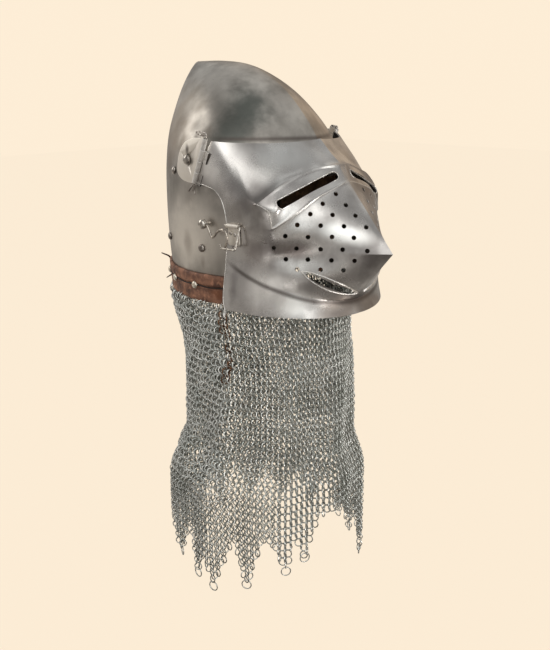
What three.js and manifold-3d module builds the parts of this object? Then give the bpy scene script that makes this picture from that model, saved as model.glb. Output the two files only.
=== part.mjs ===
// A bascinet: a pointed steel skull, a pig-faced visor on side pivots and barrel hinges, a hook
// latch on the wearer's right, a studded leather band, and a mail curtain hanging from it.
// Millimetres. X points where the face looks, Y to the wearer's left, Z up.
import * as THREE from 'three';
import { mergeVertices } from 'three/addons/utils/BufferGeometryUtils.js';
import Module from 'manifold-3d';

const wasm = await Module();
wasm.setup();

// Overall sizes of the steel skull, between its outer faces.
const skullLength = 252;
const skullBreadth = 213;
const skullHeight = 267;
const skullSheet = 2;
const visorSheet = 1.8;
const snoutReach = 64;          // how far the tip stands out in front of the brow frame

// Fits shared by many pieces.
const seatGap = 0.3;            // air between two pieces that rest on each other
const cutOver = 6;              // how far a cutter runs past the sheet it cuts

// Face opening of the skull, seen from the side.
const openingSideX = 82;        // how far in front of the ears the cheek edges stand
const openingTopZ = 139;
const openingCorner = 34;

// Eye slots, breaths and mouth slot.
const slotHeight = 9.6;
const breathBore = 4.8;
const mouthSlotHeight = 6;

// Barrel hinges between the visor and the side plates.
const knuckleRadius = 3;
const pinRadius = 1.2;
const pinClearance = 0.35;
const hingeSplit = 0.4;         // air between two knuckles
const plateSheet = 1.8;
const plateStandoff = 1;        // air between the side plate and the widest part of the skull
const pivotHead = 4.6;
const pivotShank = 2.6;

// Latch.
const hookWire = 3;
const keeperWire = 2.4;
const studNeck = 2.2;
const studHead = 5.4;
const tabSheet = 1.2;
const tabWidth = 17;
const tabHeight = 21;

// Leather.
const bandHeight = 34;
const bandThickness = 3.6;
const bandFrontX = 84;          // where the band stops beside the face
const bandStudPitch = 46;
const bandStudHead = 4.2;
const linerThickness = 2.4;
const linerHeight = 36;
const linerLow = 40;
const petalCount = 6;
const petalWidth = 62;
const crownRadius = 28;
const crownThickness = 3;
const laceRadius = 1.3;
const crownHeight = 243;
const crownBack = 36;           // how far the crown disc sits behind the ears

// Mail curtain.
const mailThickness = 5;
const mailLength = 324;
const mailFrontRise = 34;
const mailHalfLength = 117;
const mailFoldDepth = 4.5;
const mailFolds = 9;
const mailDags = 16;
const mailDagDepth = 60;
const mailNarrowing = 4;        // how far the curtain draws in at the neck
const mailHemSag = 57;          // how much lower the hem hangs over the right shoulder
const mailSagTurn = -1.5;       // where round the neck it hangs lowest, in radians
const mailFlare = 18;           // how far it spreads over the shoulders
const mailForward = 11;         // how far it is pushed forward under the chin

const halfLength = skullLength / 2;
const halfBreadth = skullBreadth / 2;

const steel = () => new THREE.MeshStandardMaterial({ color: 0x9c9792, roughness: 0.34, metalness: 1 });
const brightSteel = () => new THREE.MeshStandardMaterial({ color: 0xc4bcb2, roughness: 0.28, metalness: 1 });
const leather = () => new THREE.MeshStandardMaterial({ color: 0x4a2a1c, roughness: 0.62, metalness: 0 });
const linerLeather = () => new THREE.MeshStandardMaterial({ color: 0x7a5a3c, roughness: 0.75, metalness: 0 });
const zinc = () => new THREE.MeshStandardMaterial({ color: 0x7f8784, roughness: 0.45, metalness: 0.9 });

const vec = (x, y, z) => new THREE.Vector3(x, y, z);
// A place given as shares of the skull's half length, half breadth and height.
const place = ([xShare, yShare, zShare]) => vec(xShare * halfLength, yShare * halfBreadth, zShare * skullHeight);

// Solids

function positionsOnly(geometry) {
  const plain = geometry.index ? geometry.toNonIndexed() : geometry.clone();
  for (const name of Object.keys(plain.attributes)) {
    if (name !== 'position') plain.deleteAttribute(name);
  }
  return mergeVertices(plain, 1e-4);
}

function toSolid(geometry) {
  const merged = positionsOnly(geometry);
  return new wasm.Manifold(new wasm.Mesh({
    numProp: 3,
    vertProperties: new Float32Array(merged.attributes.position.array),
    triVerts: new Uint32Array(merged.index.array),
  }));
}

function toGeometry(solid) {
  const mesh = solid.getMesh();
  const geometry = new THREE.BufferGeometry();
  geometry.setAttribute('position', new THREE.BufferAttribute(new Float32Array(mesh.vertProperties), 3));
  geometry.setIndex(new THREE.BufferAttribute(new Uint32Array(mesh.triVerts), 1));
  return geometry;
}

const cutFrom = (solid, geometries) => geometries.reduce((left, g) => left.subtract(toSolid(g)), solid);
const joinTo = (solid, geometries) => geometries.reduce((all, g) => all.add(toSolid(g)), solid);

function facetsToGeometry(points, facets) {
  const geometry = new THREE.BufferGeometry();
  geometry.setAttribute('position', new THREE.BufferAttribute(new Float32Array(points.flatMap((p) => [p.x, p.y, p.z])), 3));
  geometry.setIndex(facets);
  return geometry;
}

// A sheet between an outer and an inner grid of points, closed along its free edges. With
// wrapped columns the sheet is a tube, and with a tip the last row closes on one point.
function sheetSolid(outer, inner, { wrap = false, tip = false } = {}) {
  const rows = outer.length;
  const columns = outer[0].length;
  const points = [...outer.flat(), ...inner.flat()];
  const at = (layer, row, column) => layer * rows * columns + row * columns + (column % columns);
  const facets = [];
  const quad = (a, b, c, d) => facets.push(a, b, c, a, c, d);
  const lastColumn = wrap ? columns : columns - 1;
  for (let row = 0; row < rows - 1; row += 1) {
    for (let column = 0; column < lastColumn; column += 1) {
      quad(at(0, row, column), at(0, row, column + 1), at(0, row + 1, column + 1), at(0, row + 1, column));
      quad(at(1, row, column), at(1, row + 1, column), at(1, row + 1, column + 1), at(1, row, column + 1));
    }
  }
  for (let column = 0; column < lastColumn; column += 1) {
    quad(at(0, 0, column + 1), at(0, 0, column), at(1, 0, column), at(1, 0, column + 1));
    if (!tip) quad(at(0, rows - 1, column), at(0, rows - 1, column + 1), at(1, rows - 1, column + 1), at(1, rows - 1, column));
  }
  if (tip) {
    points.push(tip.outer, tip.inner);
    const top = points.length - 2;
    for (let column = 0; column < lastColumn; column += 1) {
      facets.push(at(0, rows - 1, column), at(0, rows - 1, column + 1), top);
      facets.push(at(1, rows - 1, column + 1), at(1, rows - 1, column), top + 1);
    }
  }
  if (!wrap) {
    for (let row = 0; row < rows - 1; row += 1) {
      quad(at(0, row, 0), at(0, row + 1, 0), at(1, row + 1, 0), at(1, row, 0));
      quad(at(0, row + 1, columns - 1), at(0, row, columns - 1), at(1, row, columns - 1), at(1, row + 1, columns - 1));
    }
  }
  return facetsToGeometry(points, facets);
}

// Turns a geometry that was made about its own Z axis so that this axis points along a direction.
function aim(geometry, origin, direction) {
  const turn = new THREE.Quaternion().setFromUnitVectors(vec(0, 0, 1), direction.clone().normalize());
  return geometry.applyQuaternion(turn).translate(origin.x, origin.y, origin.z);
}

function rod(radius, from, to, sides = 12) {
  const direction = to.clone().sub(from);
  const length = direction.length();
  const geometry = new THREE.CylinderGeometry(radius, radius, length, sides);
  geometry.rotateX(Math.PI / 2);
  geometry.translate(0, 0, length / 2);
  return aim(geometry, from, direction);
}

function wire(radius, points, steps, sides = 8) {
  const section = new THREE.Shape();
  section.absarc(0, 0, radius, 0, Math.PI * 2);
  const path = new THREE.CatmullRomCurve3(points);
  return new THREE.ExtrudeGeometry(section, { extrudePath: path, steps, curveSegments: sides / 2, bevelEnabled: false });
}

// A domed rivet through a sheet: head outside, shank, and a flat clenched end inside.
function rivetGeometry({ head, dome, shank, through, clench, sides = 12 }) {
  const profile = [vec(0, through + dome, 0)];
  const domeSteps = 2;
  for (let step = 1; step <= domeSteps; step += 1) {
    const angle = (step / domeSteps) * (Math.PI / 2);
    profile.push(vec(head * Math.sin(angle), through + dome * Math.cos(angle), 0));
  }
  profile.push(vec(shank, through, 0), vec(shank, 0, 0), vec(clench, 0, 0), vec(clench, -shank / 2, 0), vec(0, -shank / 2, 0));
  const geometry = new THREE.LatheGeometry(profile.reverse().map((p) => new THREE.Vector2(p.x, p.y)), sides);
  return geometry.rotateX(Math.PI / 2);
}

const group = new THREE.Group();

function addPart(name, geometry, material) {
  const mesh = new THREE.Mesh(positionsOnly(geometry), material);
  mesh.geometry.computeVertexNormals();
  mesh.name = name;
  group.add(mesh);
  return mesh;
}

// Skull

// Front and back of each tilted section, and its half breadth, as shares of the skull's sizes.
const skullStationShares = [
  { front: [0.917, 0], back: [-0.93, 0], half: 0.972 },
  { front: [0.975, 0.19], back: [-0.982, 0.19], half: 0.997 },
  { front: [0.983, 0.377], back: [-1, 0.385], half: 1 },
  { front: [0.9, 0.55], back: [-0.992, 0.55], half: 0.97 },
  { front: [0.775, 0.668], back: [-0.971, 0.687], half: 0.89 },
  { front: [0.583, 0.778], back: [-0.942, 0.797], half: 0.735 },
  { front: [0.358, 0.872], back: [-0.919, 0.888], half: 0.55 },
  { front: [0.083, 0.945], back: [-0.9, 0.947], half: 0.365 },
  { front: [-0.167, 0.983], back: [-0.89, 0.978], half: 0.225 },
  { front: [-0.5, 0.999], back: [-0.883, 0.994], half: 0.105 },
];
const skullApexShare = [-0.875, 0, 1];
const skullCreaseShare = 0.11;  // how sharp the ridge down the front is
const skullRows = 12;
const skullColumns = 36;

const frontCurve = new THREE.CatmullRomCurve3(
  [...skullStationShares.map((s) => place([s.front[0], 0, s.front[1]])), place(skullApexShare)]);
const backCurve = new THREE.CatmullRomCurve3(
  [...skullStationShares.map((s) => place([s.back[0], s.half, s.back[1]])), place(skullApexShare)]);

function skullPoint(rise, angle) {
  const front = frontCurve.getPoint(rise);
  const back = backCurve.getPoint(rise);
  const half = back.y;
  const toFront = Math.cos(angle);
  const ridge = skullCreaseShare * Math.abs(Math.sin(angle)) * Math.max(toFront, 0) ** 2;
  const along = (1 + toFront) / 2 - ridge;
  return vec(
    THREE.MathUtils.lerp(back.x, front.x, along),
    half * Math.sin(angle),
    THREE.MathUtils.lerp(back.z, front.z, along),
  );
}

function skullNormal(rise, angle) {
  const stepShare = 0.004;
  const high = THREE.MathUtils.clamp(rise + stepShare, 2 * stepShare, 0.985);
  const upward = skullPoint(high, angle).sub(skullPoint(high - 2 * stepShare, angle));
  const around = skullPoint(rise, angle + stepShare).sub(skullPoint(rise, angle - stepShare));
  return around.cross(upward).normalize();
}

// The rise and angle at which the skull's right or left side passes a given X and Z.
function skullFoot(x, z, side) {
  let best = { miss: Infinity };
  let span = { rise: [0, 0.95], angle: [0.05, Math.PI - 0.05] };
  for (let pass = 0; pass < 5; pass += 1) {
    const gridCount = 12;
    for (let i = 0; i <= gridCount; i += 1) {
      for (let j = 0; j <= gridCount; j += 1) {
        const rise = THREE.MathUtils.lerp(span.rise[0], span.rise[1], i / gridCount);
        const angle = THREE.MathUtils.lerp(span.angle[0], span.angle[1], j / gridCount);
        const point = skullPoint(rise, angle);
        const miss = Math.hypot(point.x - x, point.z - z);
        if (miss < best.miss) best = { miss, rise, angle };
      }
    }
    const shrink = (range, middle) => {
      const reach = (range[1] - range[0]) / 8;
      return [Math.max(middle - reach, 0), middle + reach];
    };
    span = { rise: shrink(span.rise, best.rise), angle: shrink(span.angle, best.angle) };
  }
  const point = skullPoint(best.rise, best.angle * side);
  const normal = skullNormal(best.rise, best.angle * side);
  return { point, normal };
}

function skullSolid() {
  const outer = [];
  const inner = [];
  for (let row = 0; row < skullRows; row += 1) {
    const rise = (row / skullRows) ** 0.95;
    const outerRow = [];
    const innerRow = [];
    for (let column = 0; column < skullColumns; column += 1) {
      const angle = (column / skullColumns) * Math.PI * 2;
      const point = skullPoint(rise, angle);
      outerRow.push(point);
      innerRow.push(point.clone().addScaledVector(skullNormal(rise, angle), -skullSheet));
    }
    outer.push(outerRow);
    inner.push(innerRow);
  }
  const apex = place(skullApexShare);
  const tip = { outer: apex, inner: apex.clone().add(vec(skullSheet * 2, 0, -skullSheet * 1.2)) };
  return toSolid(sheetSolid(outer, inner, { wrap: true, tip }));
}

// An arch as wide as the helmet, seen from the side, that opens the skull in front of the face.
function faceCutter() {
  const front = halfLength * 1.4;
  const low = -skullHeight * 0.1;
  const shape = new THREE.Shape();
  shape.moveTo(openingSideX, low);
  shape.lineTo(openingSideX, openingTopZ - openingCorner);
  shape.quadraticCurveTo(openingSideX, openingTopZ, openingSideX + openingCorner, openingTopZ);
  shape.lineTo(front, openingTopZ);
  shape.lineTo(front, low);
  const geometry = new THREE.ExtrudeGeometry(shape, { depth: skullBreadth, curveSegments: 8, bevelEnabled: false });
  geometry.rotateX(Math.PI / 2);
  return geometry.translate(0, halfBreadth, 0);
}

// Everything that is riveted to the skull: places seen from the side, as shares.
const pivotShare = [-0.04, 0.592];
const hookStudShare = [0.202, 0.331];
const linerRivetShares = {
  side: [0.104, 0.217],
  rear: [-0.516, 0.226],
  high: [-0.331, 0.536],
};

const footAt = ([xShare, zShare], side) => skullFoot(xShare * halfLength, zShare * skullHeight, side);

const linerRivets = [];
for (const [label, share] of Object.entries(linerRivetShares)) {
  for (const side of [-1, 1]) {
    linerRivets.push({ name: `liner_rivet_${label}_${side < 0 ? 'right' : 'left'}`, ...footAt(share, side) });
  }
}
const linerRivetShank = 1.6;
const linerRivetHead = 4;
const linerRivetDome = 2.4;

const hookStud = footAt(hookStudShare, -1);

const along = (foot, distance) => foot.point.clone().addScaledVector(foot.normal, distance);
const boreThroughSkull = (foot, radius) => rod(radius, along(foot, -skullSheet - cutOver * 2), along(foot, cutOver), 6);

// Visor surface

// The visor's outer face as rows of places from the middle of the face to the side, top row
// first. Each place is [X, Y, Z] in shares of the skull's half length, half breadth and height;
// the fourth value is the share of the snout's reach that is added to X.
const visorRowShares = {
  top: [[0.8, 0, 0.674], [0.781, 0.064, 0.67], [0.749, 0.211, 0.666], [0.684, 0.424, 0.664], [0.6, 0.582, 0.663],
    [0.517, 0.709, 0.665], [0.433, 0.798, 0.666], [0.333, 0.91, 0.67], [0.22, 1.001, 0.676], [0, 1.009, 0.68]],
  brow: [[0.942, 0, 0.613], [0.926, 0.067, 0.61], [0.892, 0.217, 0.604], [0.819, 0.437, 0.596], [0.743, 0.603, 0.592],
    [0.642, 0.749, 0.59], [0.55, 0.837, 0.589], [0.433, 0.93, 0.591], [0.27, 1.003, 0.593], [0, 1.009, 0.595]],
  root: [[1.017, 0, 0.587], [1, 0.07, 0.584], [0.945, 0.236, 0.579], [0.87, 0.463, 0.555], [0.825, 0.65, 0.526],
    [0.755, 0.87, 0.47], [0.71, 0.92, 0.462], [0.6, 0.965, 0.456], [0.42, 1.003, 0.457], [0, 1.009, 0.462]],
  crest: [[1.063, 0, 0.573], [1.058, 0.069, 0.573], [0.982, 0.233, 0.564], [0.919, 0.466, 0.536], [0.879, 0.67, 0.507],
    [0.802, 0.928, 0.439], [0.785, 0.938, 0.436], [0.667, 0.972, 0.42], [0.5, 0.999, 0.408], [0, 1.009, 0.408]],
  faceHigh: [[1.086, 0, 0.552], [1.084, 0.054, 0.552], [1.033, 0.227, 0.539], [0.98, 0.456, 0.509], [0.927, 0.665, 0.468],
    [0.921, 0.815, 0.419], [0.838, 0.904, 0.404], [0.7, 0.966, 0.39], [0.5, 1, 0.37], [0, 1.01, 0.37]],
  faceLow: [[1.115, 0, 0.529], [1.113, 0.049, 0.528], [1.085, 0.222, 0.512], [1.04, 0.445, 0.481], [0.974, 0.66, 0.431],
    [0.917, 0.828, 0.381], [0.873, 0.871, 0.372], [0.733, 0.957, 0.355], [0.5, 1.003, 0.335], [0, 1.012, 0.335]],
  crease: [[1.146, 0, 0.506], [1.144, 0.049, 0.504], [1.137, 0.217, 0.485], [1.1, 0.433, 0.454], [1.021, 0.65, 0.395],
    [0.91, 0.837, 0.34], [0.896, 0.855, 0.338], [0.767, 0.936, 0.322], [0.5, 1.005, 0.306], [0, 1.015, 0.306]],
  tip: [[1.146, 0, 0.232, 1], [1.146, 0.044, 0.232, 0.9], [1.13, 0.197, 0.23, 0.6], [1.09, 0.409, 0.226, 0.27],
    [1.02, 0.601, 0.224, 0.06], [0.9, 0.788, 0.222], [0.858, 0.837, 0.222], [0.717, 0.941, 0.22], [0.5, 1.015, 0.216],
    [0, 1.025, 0.216]],
  chin: [[1.242, 0, 0.012], [1.24, 0.079, 0.0125], [1.221, 0.246, 0.02], [1.158, 0.463, 0.037], [1.058, 0.65, 0.061],
    [0.908, 0.818, 0.094], [0.842, 0.877, 0.11], [0.7, 0.97, 0.137], [0.48, 1.034, 0.149], [0, 1.045, 0.149]],
  skirt: [[1.27, 0, -0.016], [1.268, 0.079, -0.016], [1.24, 0.259, -0.014], [1.165, 0.488, -0.004], [1.055, 0.68, 0.012],
    [0.895, 0.855, 0.032], [0.83, 0.913, 0.042], [0.69, 1.005, 0.06], [0.465, 1.066, 0.067], [0, 1.078, 0.067]],
  hem: [[1.313, 0, -0.039], [1.31, 0.079, -0.04], [1.275, 0.276, -0.041], [1.183, 0.512, -0.039], [1.058, 0.709, -0.035],
    [0.892, 0.887, -0.029], [0.825, 0.946, -0.027], [0.683, 1.034, -0.022], [0.45, 1.094, -0.016], [0, 1.115, -0.016]],
};

// The smooth panels of the visor, each with its named rows from top to bottom, how many rows are
// laid from each named one to the next, and how far the middle of the panel swells outwards.
const visorPanelShares = [
  { names: ['top', 'brow', 'root', 'crest'], steps: [2, 2, 2], swell: 0 },
  { names: ['crest', 'faceHigh', 'faceLow', 'crease'], steps: [1, 1, 1], swell: 0 },
  { names: ['crease', 'tip', 'chin'], steps: [4, 4], swell: 0.028 },
  { names: ['chin', 'skirt', 'hem'], steps: [1, 2], swell: 0 },
];
const tipSharpShare = 0.16;     // how far from the middle the snout's ridge stays sharp

// How much of the way from each place in a row to the next one column of facets takes.
const columnShares = [1, 1, 0.5, 0.5, 0.5, 1, 1, 0.5, 1];

const visorPlace = ([xShare, yShare, zShare, reachShare = 0]) => (
  place([xShare, yShare, zShare]).add(vec(reachShare * snoutReach, 0, 0)));

// A row of the left half, from the middle to the side, with smooth columns between its places.
function visorRow(shares) {
  const curve = new THREE.CatmullRomCurve3(shares.map(visorPlace), false, 'catmullrom', 0.4);
  const points = [];
  columnShares.forEach((share, knot) => {
    for (let step = 0; step * share < 1; step += 1) {
      points.push(curve.getPoint((knot + step * share) / columnShares.length));
    }
  });
  points.push(curve.getPoint(1));
  return points;
}

// Lays rows over one panel: smooth from row to row, but straight to the tip near the middle.
function panelRows({ names, steps, swell }) {
  const named = names.map((name) => visorRow(visorRowShares[name]));
  const knots = named.length - 1;
  const curves = named[0].map((_, column) => (
    new THREE.CatmullRomCurve3(named.map((row) => row[column]), false, 'catmullrom', 0.5)));
  const rows = [];
  for (let knot = 0; knot < knots; knot += 1) {
    for (let step = 0; step < steps[knot]; step += 1) {
      const mix = step / steps[knot];
      rows.push(curves.map((curve, column) => {
        const smooth = curve.getPoint((knot + mix) / knots);
        const straight = named[knot][column].clone().lerp(named[knot + 1][column], mix);
        const sharp = swell ? Math.max(0, 1 - smooth.y / (tipSharpShare * halfBreadth)) : 0;
        const across = column / (curves.length - 1);
        const bulge = swell * halfLength * Math.sin(mix * Math.PI) * Math.sin(Math.min(across * 1.5, 1) * Math.PI);
        return smooth.lerp(straight, sharp).addScaledVector(vec(0.7, 0.7, 0), bulge);
      }));
    }
  }
  return rows;
}

const visorRows = [...visorPanelShares.flatMap(panelRows), visorRow(visorRowShares.hem)];

// Where the left half's outer face lies at two of its coordinates, with the sheet's normal.
function visorFoot(first, second, firstAxis, secondAxis, outAxis) {
  let best = null;
  const test = (a, b, c) => {
    const u = b.clone().sub(a);
    const v = c.clone().sub(a);
    const area = u[firstAxis] * v[secondAxis] - u[secondAxis] * v[firstAxis];
    if (Math.abs(area) < 1e-9) return;
    const p = first - a[firstAxis];
    const q = second - a[secondAxis];
    const s = (p * v[secondAxis] - q * v[firstAxis]) / area;
    const t = (u[firstAxis] * q - u[secondAxis] * p) / area;
    if (s < -1e-6 || t < -1e-6 || s + t > 1 + 1e-6) return;
    const point = a.clone().addScaledVector(u, s).addScaledVector(v, t);
    if (best && best.point[outAxis] > point[outAxis]) return;
    const normal = u.cross(v).normalize();
    if (normal[outAxis] < 0) normal.negate();
    best = { point, normal };
  };
  for (let row = 0; row < visorRows.length - 1; row += 1) {
    for (let column = 0; column < visorRows[0].length - 1; column += 1) {
      const [a, b] = [visorRows[row][column], visorRows[row][column + 1]];
      const [d, c] = [visorRows[row + 1][column], visorRows[row + 1][column + 1]];
      test(a, b, c);
      test(a, c, d);
    }
  }
  return best;
}

const faceFoot = (y, z) => visorFoot(y, z, 'y', 'z', 'x');
const cheekFoot = (x, z) => visorFoot(x, z, 'x', 'z', 'y');
const sideOf = (foot, side) => ({
  point: vec(foot.point.x, foot.point.y * side, foot.point.z),
  normal: vec(foot.normal.x, foot.normal.y * side, foot.normal.z),
});

// Both halves in one row: from the left side over the middle to the right side.
function mirrored(row) {
  const left = row.slice(1).reverse();
  const right = row.map((p) => vec(p.x, -p.y, p.z));
  return [...left, ...right];
}

function inwardOffset(grid, distance) {
  const rows = grid.length;
  const columns = grid[0].length;
  return grid.map((row, r) => row.map((point, c) => {
    const up = grid[Math.max(r - 1, 0)][c].clone().sub(grid[Math.min(r + 1, rows - 1)][c]);
    const across = row[Math.min(c + 1, columns - 1)].clone().sub(row[Math.max(c - 1, 0)]);
    const normal = up.cross(across).normalize();
    return point.clone().addScaledVector(normal, -distance);
  }));
}

function visorShell() {
  const outer = visorRows.map(mirrored);
  const inner = inwardOffset(outer, visorSheet);
  return toSolid(sheetSolid(outer, inner));
}

// Hinges

// The hinge line of each side, as seen from the side, upper end first.
const hingeTopShare = [0.235, 0.685];
const hingeLowShare = [0.055, 0.497];
const plateInner = halfBreadth * 0.982 + plateStandoff;
const plateOuter = plateInner + plateSheet;
const hingeAxisY = plateOuter + knuckleRadius - plateSheet;
const hingePoint = (share, side) => vec(share[0] * halfLength, side * hingeAxisY, share[1] * skullHeight);
const knuckleCount = 4;

function knuckleSpan(index, side) {
  const top = hingePoint(hingeTopShare, side);
  const low = hingePoint(hingeLowShare, side);
  const direction = low.clone().sub(top).normalize();
  const pitch = top.distanceTo(low) / knuckleCount;
  const from = top.clone().addScaledVector(direction, index * pitch + hingeSplit / 2);
  const to = top.clone().addScaledVector(direction, (index + 1) * pitch - hingeSplit / 2);
  return { from, to, direction };
}

// A knuckle with the strip of sheet that it is rolled from. Forward strips belong to the visor.
function knuckleGeometries(index, side, forward) {
  const { from, to, direction } = knuckleSpan(index, side);
  const barrel = rod(knuckleRadius, from, to, 12);
  const reach = knuckleRadius * 3;
  const heading = vec(-direction.z, 0, direction.x).multiplyScalar(forward ? -1 : 1);
  if (heading.x * (forward ? 1 : -1) < 0) heading.negate();
  const strip = new THREE.BoxGeometry(reach, plateSheet, from.distanceTo(to));
  const basis = new THREE.Matrix4().makeBasis(heading, direction.clone().cross(heading), direction);
  strip.applyMatrix4(basis);
  const middle = from.clone().lerp(to, 0.5).addScaledVector(heading, reach / 2);
  middle.y = side * (plateInner + plateSheet / 2);
  strip.translate(middle.x, middle.y, middle.z);
  return [barrel, strip];
}

function pinBore(side, radius) {
  const top = hingePoint(hingeTopShare, side);
  const low = hingePoint(hingeLowShare, side);
  const direction = low.clone().sub(top).normalize();
  return rod(radius, top.clone().addScaledVector(direction, -cutOver), low.clone().addScaledVector(direction, cutOver), 8);
}

// Cuts away what lies behind the visor's rear edge, with the hinge line at the top.
const rearEdgeShares = [
  [0.132, 0.494], [0.228, 0.487], [0.315, 0.474], [0.397, 0.438], [0.437, 0.39], [0.456, 0.346], [0.45, 0.241],
  [0.446, 0.14], [0.446, 0.081], [0.451, 0.016], [0.476, -0.014], [0.49, -0.06],
];

function rearCutter() {
  const lead = knuckleRadius + hingeSplit;
  const back = -halfLength;
  const atTop = vec(hingeTopShare[0] * halfLength + lead, 0, hingeTopShare[1] * skullHeight);
  const atLow = vec(hingeLowShare[0] * halfLength + lead, 0, hingeLowShare[1] * skullHeight);
  const above = atTop.clone().addScaledVector(atTop.clone().sub(atLow), 0.6);
  const shape = new THREE.Shape();
  shape.moveTo(back, above.z);
  shape.lineTo(above.x, above.z);
  shape.lineTo(atLow.x, atLow.z);
  for (const [xShare, zShare] of rearEdgeShares) shape.lineTo(xShare * halfLength, zShare * skullHeight);
  shape.lineTo(back, -skullHeight * 0.06);
  const geometry = new THREE.ExtrudeGeometry(shape, { depth: skullBreadth * 1.3, bevelEnabled: false });
  geometry.rotateX(Math.PI / 2);
  return geometry.translate(0, skullBreadth * 0.65, 0);
}

// Openings in the visor

// Ends of the eye slot on the frame's face, as shares of the way between the crest and the
// crease, at given columns of the outer rows.
const slotInnerShare = { y: 0.15, mix: 0.49 };
const slotOuterShare = { y: 0.735, mix: 0.49 };

function frameFace(yShare, mix) {
  const y = yShare * halfBreadth;
  const pick = (shares) => {
    const points = visorRow(shares);
    const index = points.findIndex((p) => p.y >= y);
    const before = points[index - 1];
    const after = points[index];
    return before.clone().lerp(after, (y - before.y) / (after.y - before.y));
  };
  return pick(visorRowShares.crest).lerp(pick(visorRowShares.crease), mix);
}

function roundedSlot(length, height, depth) {
  const shape = new THREE.Shape();
  const half = length / 2 - height / 2;
  shape.moveTo(-half, -height / 2);
  shape.lineTo(half, -height / 2);
  shape.absarc(half, 0, height / 2, -Math.PI / 2, Math.PI / 2, false);
  shape.lineTo(-half, height / 2);
  shape.absarc(-half, 0, height / 2, Math.PI / 2, Math.PI * 1.5, false);
  const geometry = new THREE.ExtrudeGeometry(shape, { depth, curveSegments: 6, bevelEnabled: false });
  return geometry.translate(0, 0, -depth / 2);
}

// A slot cutter between two places, with its height square to the sheet's normal.
function slotCutter(from, to, normal, height, depth) {
  const run = to.clone().sub(from);
  const geometry = roundedSlot(run.length() + height, height, depth);
  const xAxis = run.clone().normalize();
  const zAxis = normal.clone().addScaledVector(xAxis, -normal.dot(xAxis)).normalize();
  const basis = new THREE.Matrix4().makeBasis(xAxis, zAxis.clone().cross(xAxis), zAxis);
  geometry.applyMatrix4(basis);
  const middle = from.clone().lerp(to, 0.5);
  return geometry.translate(middle.x, middle.y, middle.z);
}

function eyeSlots() {
  return [-1, 1].map((side) => {
    const flip = (p) => vec(p.x, p.y * side, p.z);
    const from = flip(frameFace(slotInnerShare.y, slotInnerShare.mix));
    const to = flip(frameFace(slotOuterShare.y, slotOuterShare.mix));
    const middleShare = (slotInnerShare.y + slotOuterShare.y) / 2;
    const high = flip(frameFace(middleShare, 0));
    const low = flip(frameFace(middleShare, 1));
    const normal = high.clone().sub(low).cross(to.clone().sub(from)).normalize();
    return slotCutter(from, to, normal, slotHeight, cutOver * 5);
  });
}

// The breaths of the left half, row by row, as shares of the half breadth and the height.
const breathShares = [
  [0.222, 0.465],
  [0.388, 0.431], [0.175, 0.421],
  [0.52, 0.393], [0.335, 0.387], [0.136, 0.38],
  [0.64, 0.352], [0.458, 0.347], [0.273, 0.342], [0.091, 0.335],
  [0.739, 0.308], [0.562, 0.302], [0.383, 0.301], [0.219, 0.296],
  [0.814, 0.258], [0.639, 0.254], [0.465, 0.25], [0.313, 0.249], [0.149, 0.244],
  [0.716, 0.21], [0.556, 0.208], [0.395, 0.205], [0.235, 0.203],
  [0.648, 0.169], [0.481, 0.167], [0.313, 0.164],
];

function breathBores() {
  return breathShares.flatMap(([yShare, zShare]) => {
    const foot = faceFoot(yShare * halfBreadth, zShare * skullHeight);
    return [-1, 1].map((side) => {
      const { point, normal } = sideOf(foot, side);
      const reach = normal.clone().multiplyScalar(cutOver);
      return rod(breathBore / 2, point.clone().sub(reach), point.clone().add(reach), 6);
    });
  });
}

const mouthShares = { inner: [0.137, 0.056], outer: [0.571, 0.144] };

function mouthSlots() {
  return [-1, 1].map((side) => {
    const inner = sideOf(faceFoot(mouthShares.inner[0] * halfBreadth, mouthShares.inner[1] * skullHeight), side);
    const outer = sideOf(faceFoot(mouthShares.outer[0] * halfBreadth, mouthShares.outer[1] * skullHeight), side);
    const normal = inner.normal.clone().add(outer.normal).normalize();
    return slotCutter(inner.point, outer.point, normal, mouthSlotHeight, cutOver * 3);
  });
}

// Side plates, pivots and hinge pins

// The rear outline of a side plate, from the top of the hinge to its foot, as shares.
const plateEdgeShares = [
  [0.053, 0.685], [-0.06, 0.668], [-0.15, 0.627], [-0.196, 0.564], [-0.195, 0.53], [-0.144, 0.507], [-0.07, 0.497],
  [0.003, 0.494],
];

function sidePlate(side) {
  const lead = knuckleRadius + hingeSplit;
  const shape = new THREE.Shape();
  shape.moveTo(hingeTopShare[0] * halfLength - lead, hingeTopShare[1] * skullHeight);
  const [first, ...rest] = plateEdgeShares.map(([x, z]) => new THREE.Vector2(x * halfLength, z * skullHeight));
  shape.lineTo(first.x, first.y);
  shape.splineThru(rest);
  shape.lineTo(hingeLowShare[0] * halfLength - lead, hingeLowShare[1] * skullHeight);
  const geometry = new THREE.ExtrudeGeometry(shape, { depth: plateSheet, curveSegments: 3, bevelEnabled: false });
  geometry.rotateX(Math.PI / 2);
  geometry.translate(0, side > 0 ? plateOuter : -plateInner, 0);
  let plate = toSolid(geometry);
  for (const index of [0, 2]) plate = joinTo(plate, knuckleGeometries(index, side, false));
  const { x, z } = pivotPlace;
  return cutFrom(plate, [
    pinBore(side, pinRadius + pinClearance),
    rod(pivotShank + pinClearance, vec(x, side * (plateInner - cutOver), z), vec(x, side * (plateOuter + cutOver), z)),
  ]);
}

const pivotPlace = { x: pivotShare[0] * halfLength, z: pivotShare[1] * skullHeight };
const pivotWasherRadius = 7;

// How far out the skull reaches under the washer, on the washer's lowest and widest side.
function skullReachUnder(radius) {
  const reaches = [-1, 0, 1].map((step) => (
    skullFoot(pivotPlace.x, pivotPlace.z + step * radius, 1).point.y));
  return Math.max(...reaches);
}
const washerInner = skullReachUnder(pivotWasherRadius) + seatGap;

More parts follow.
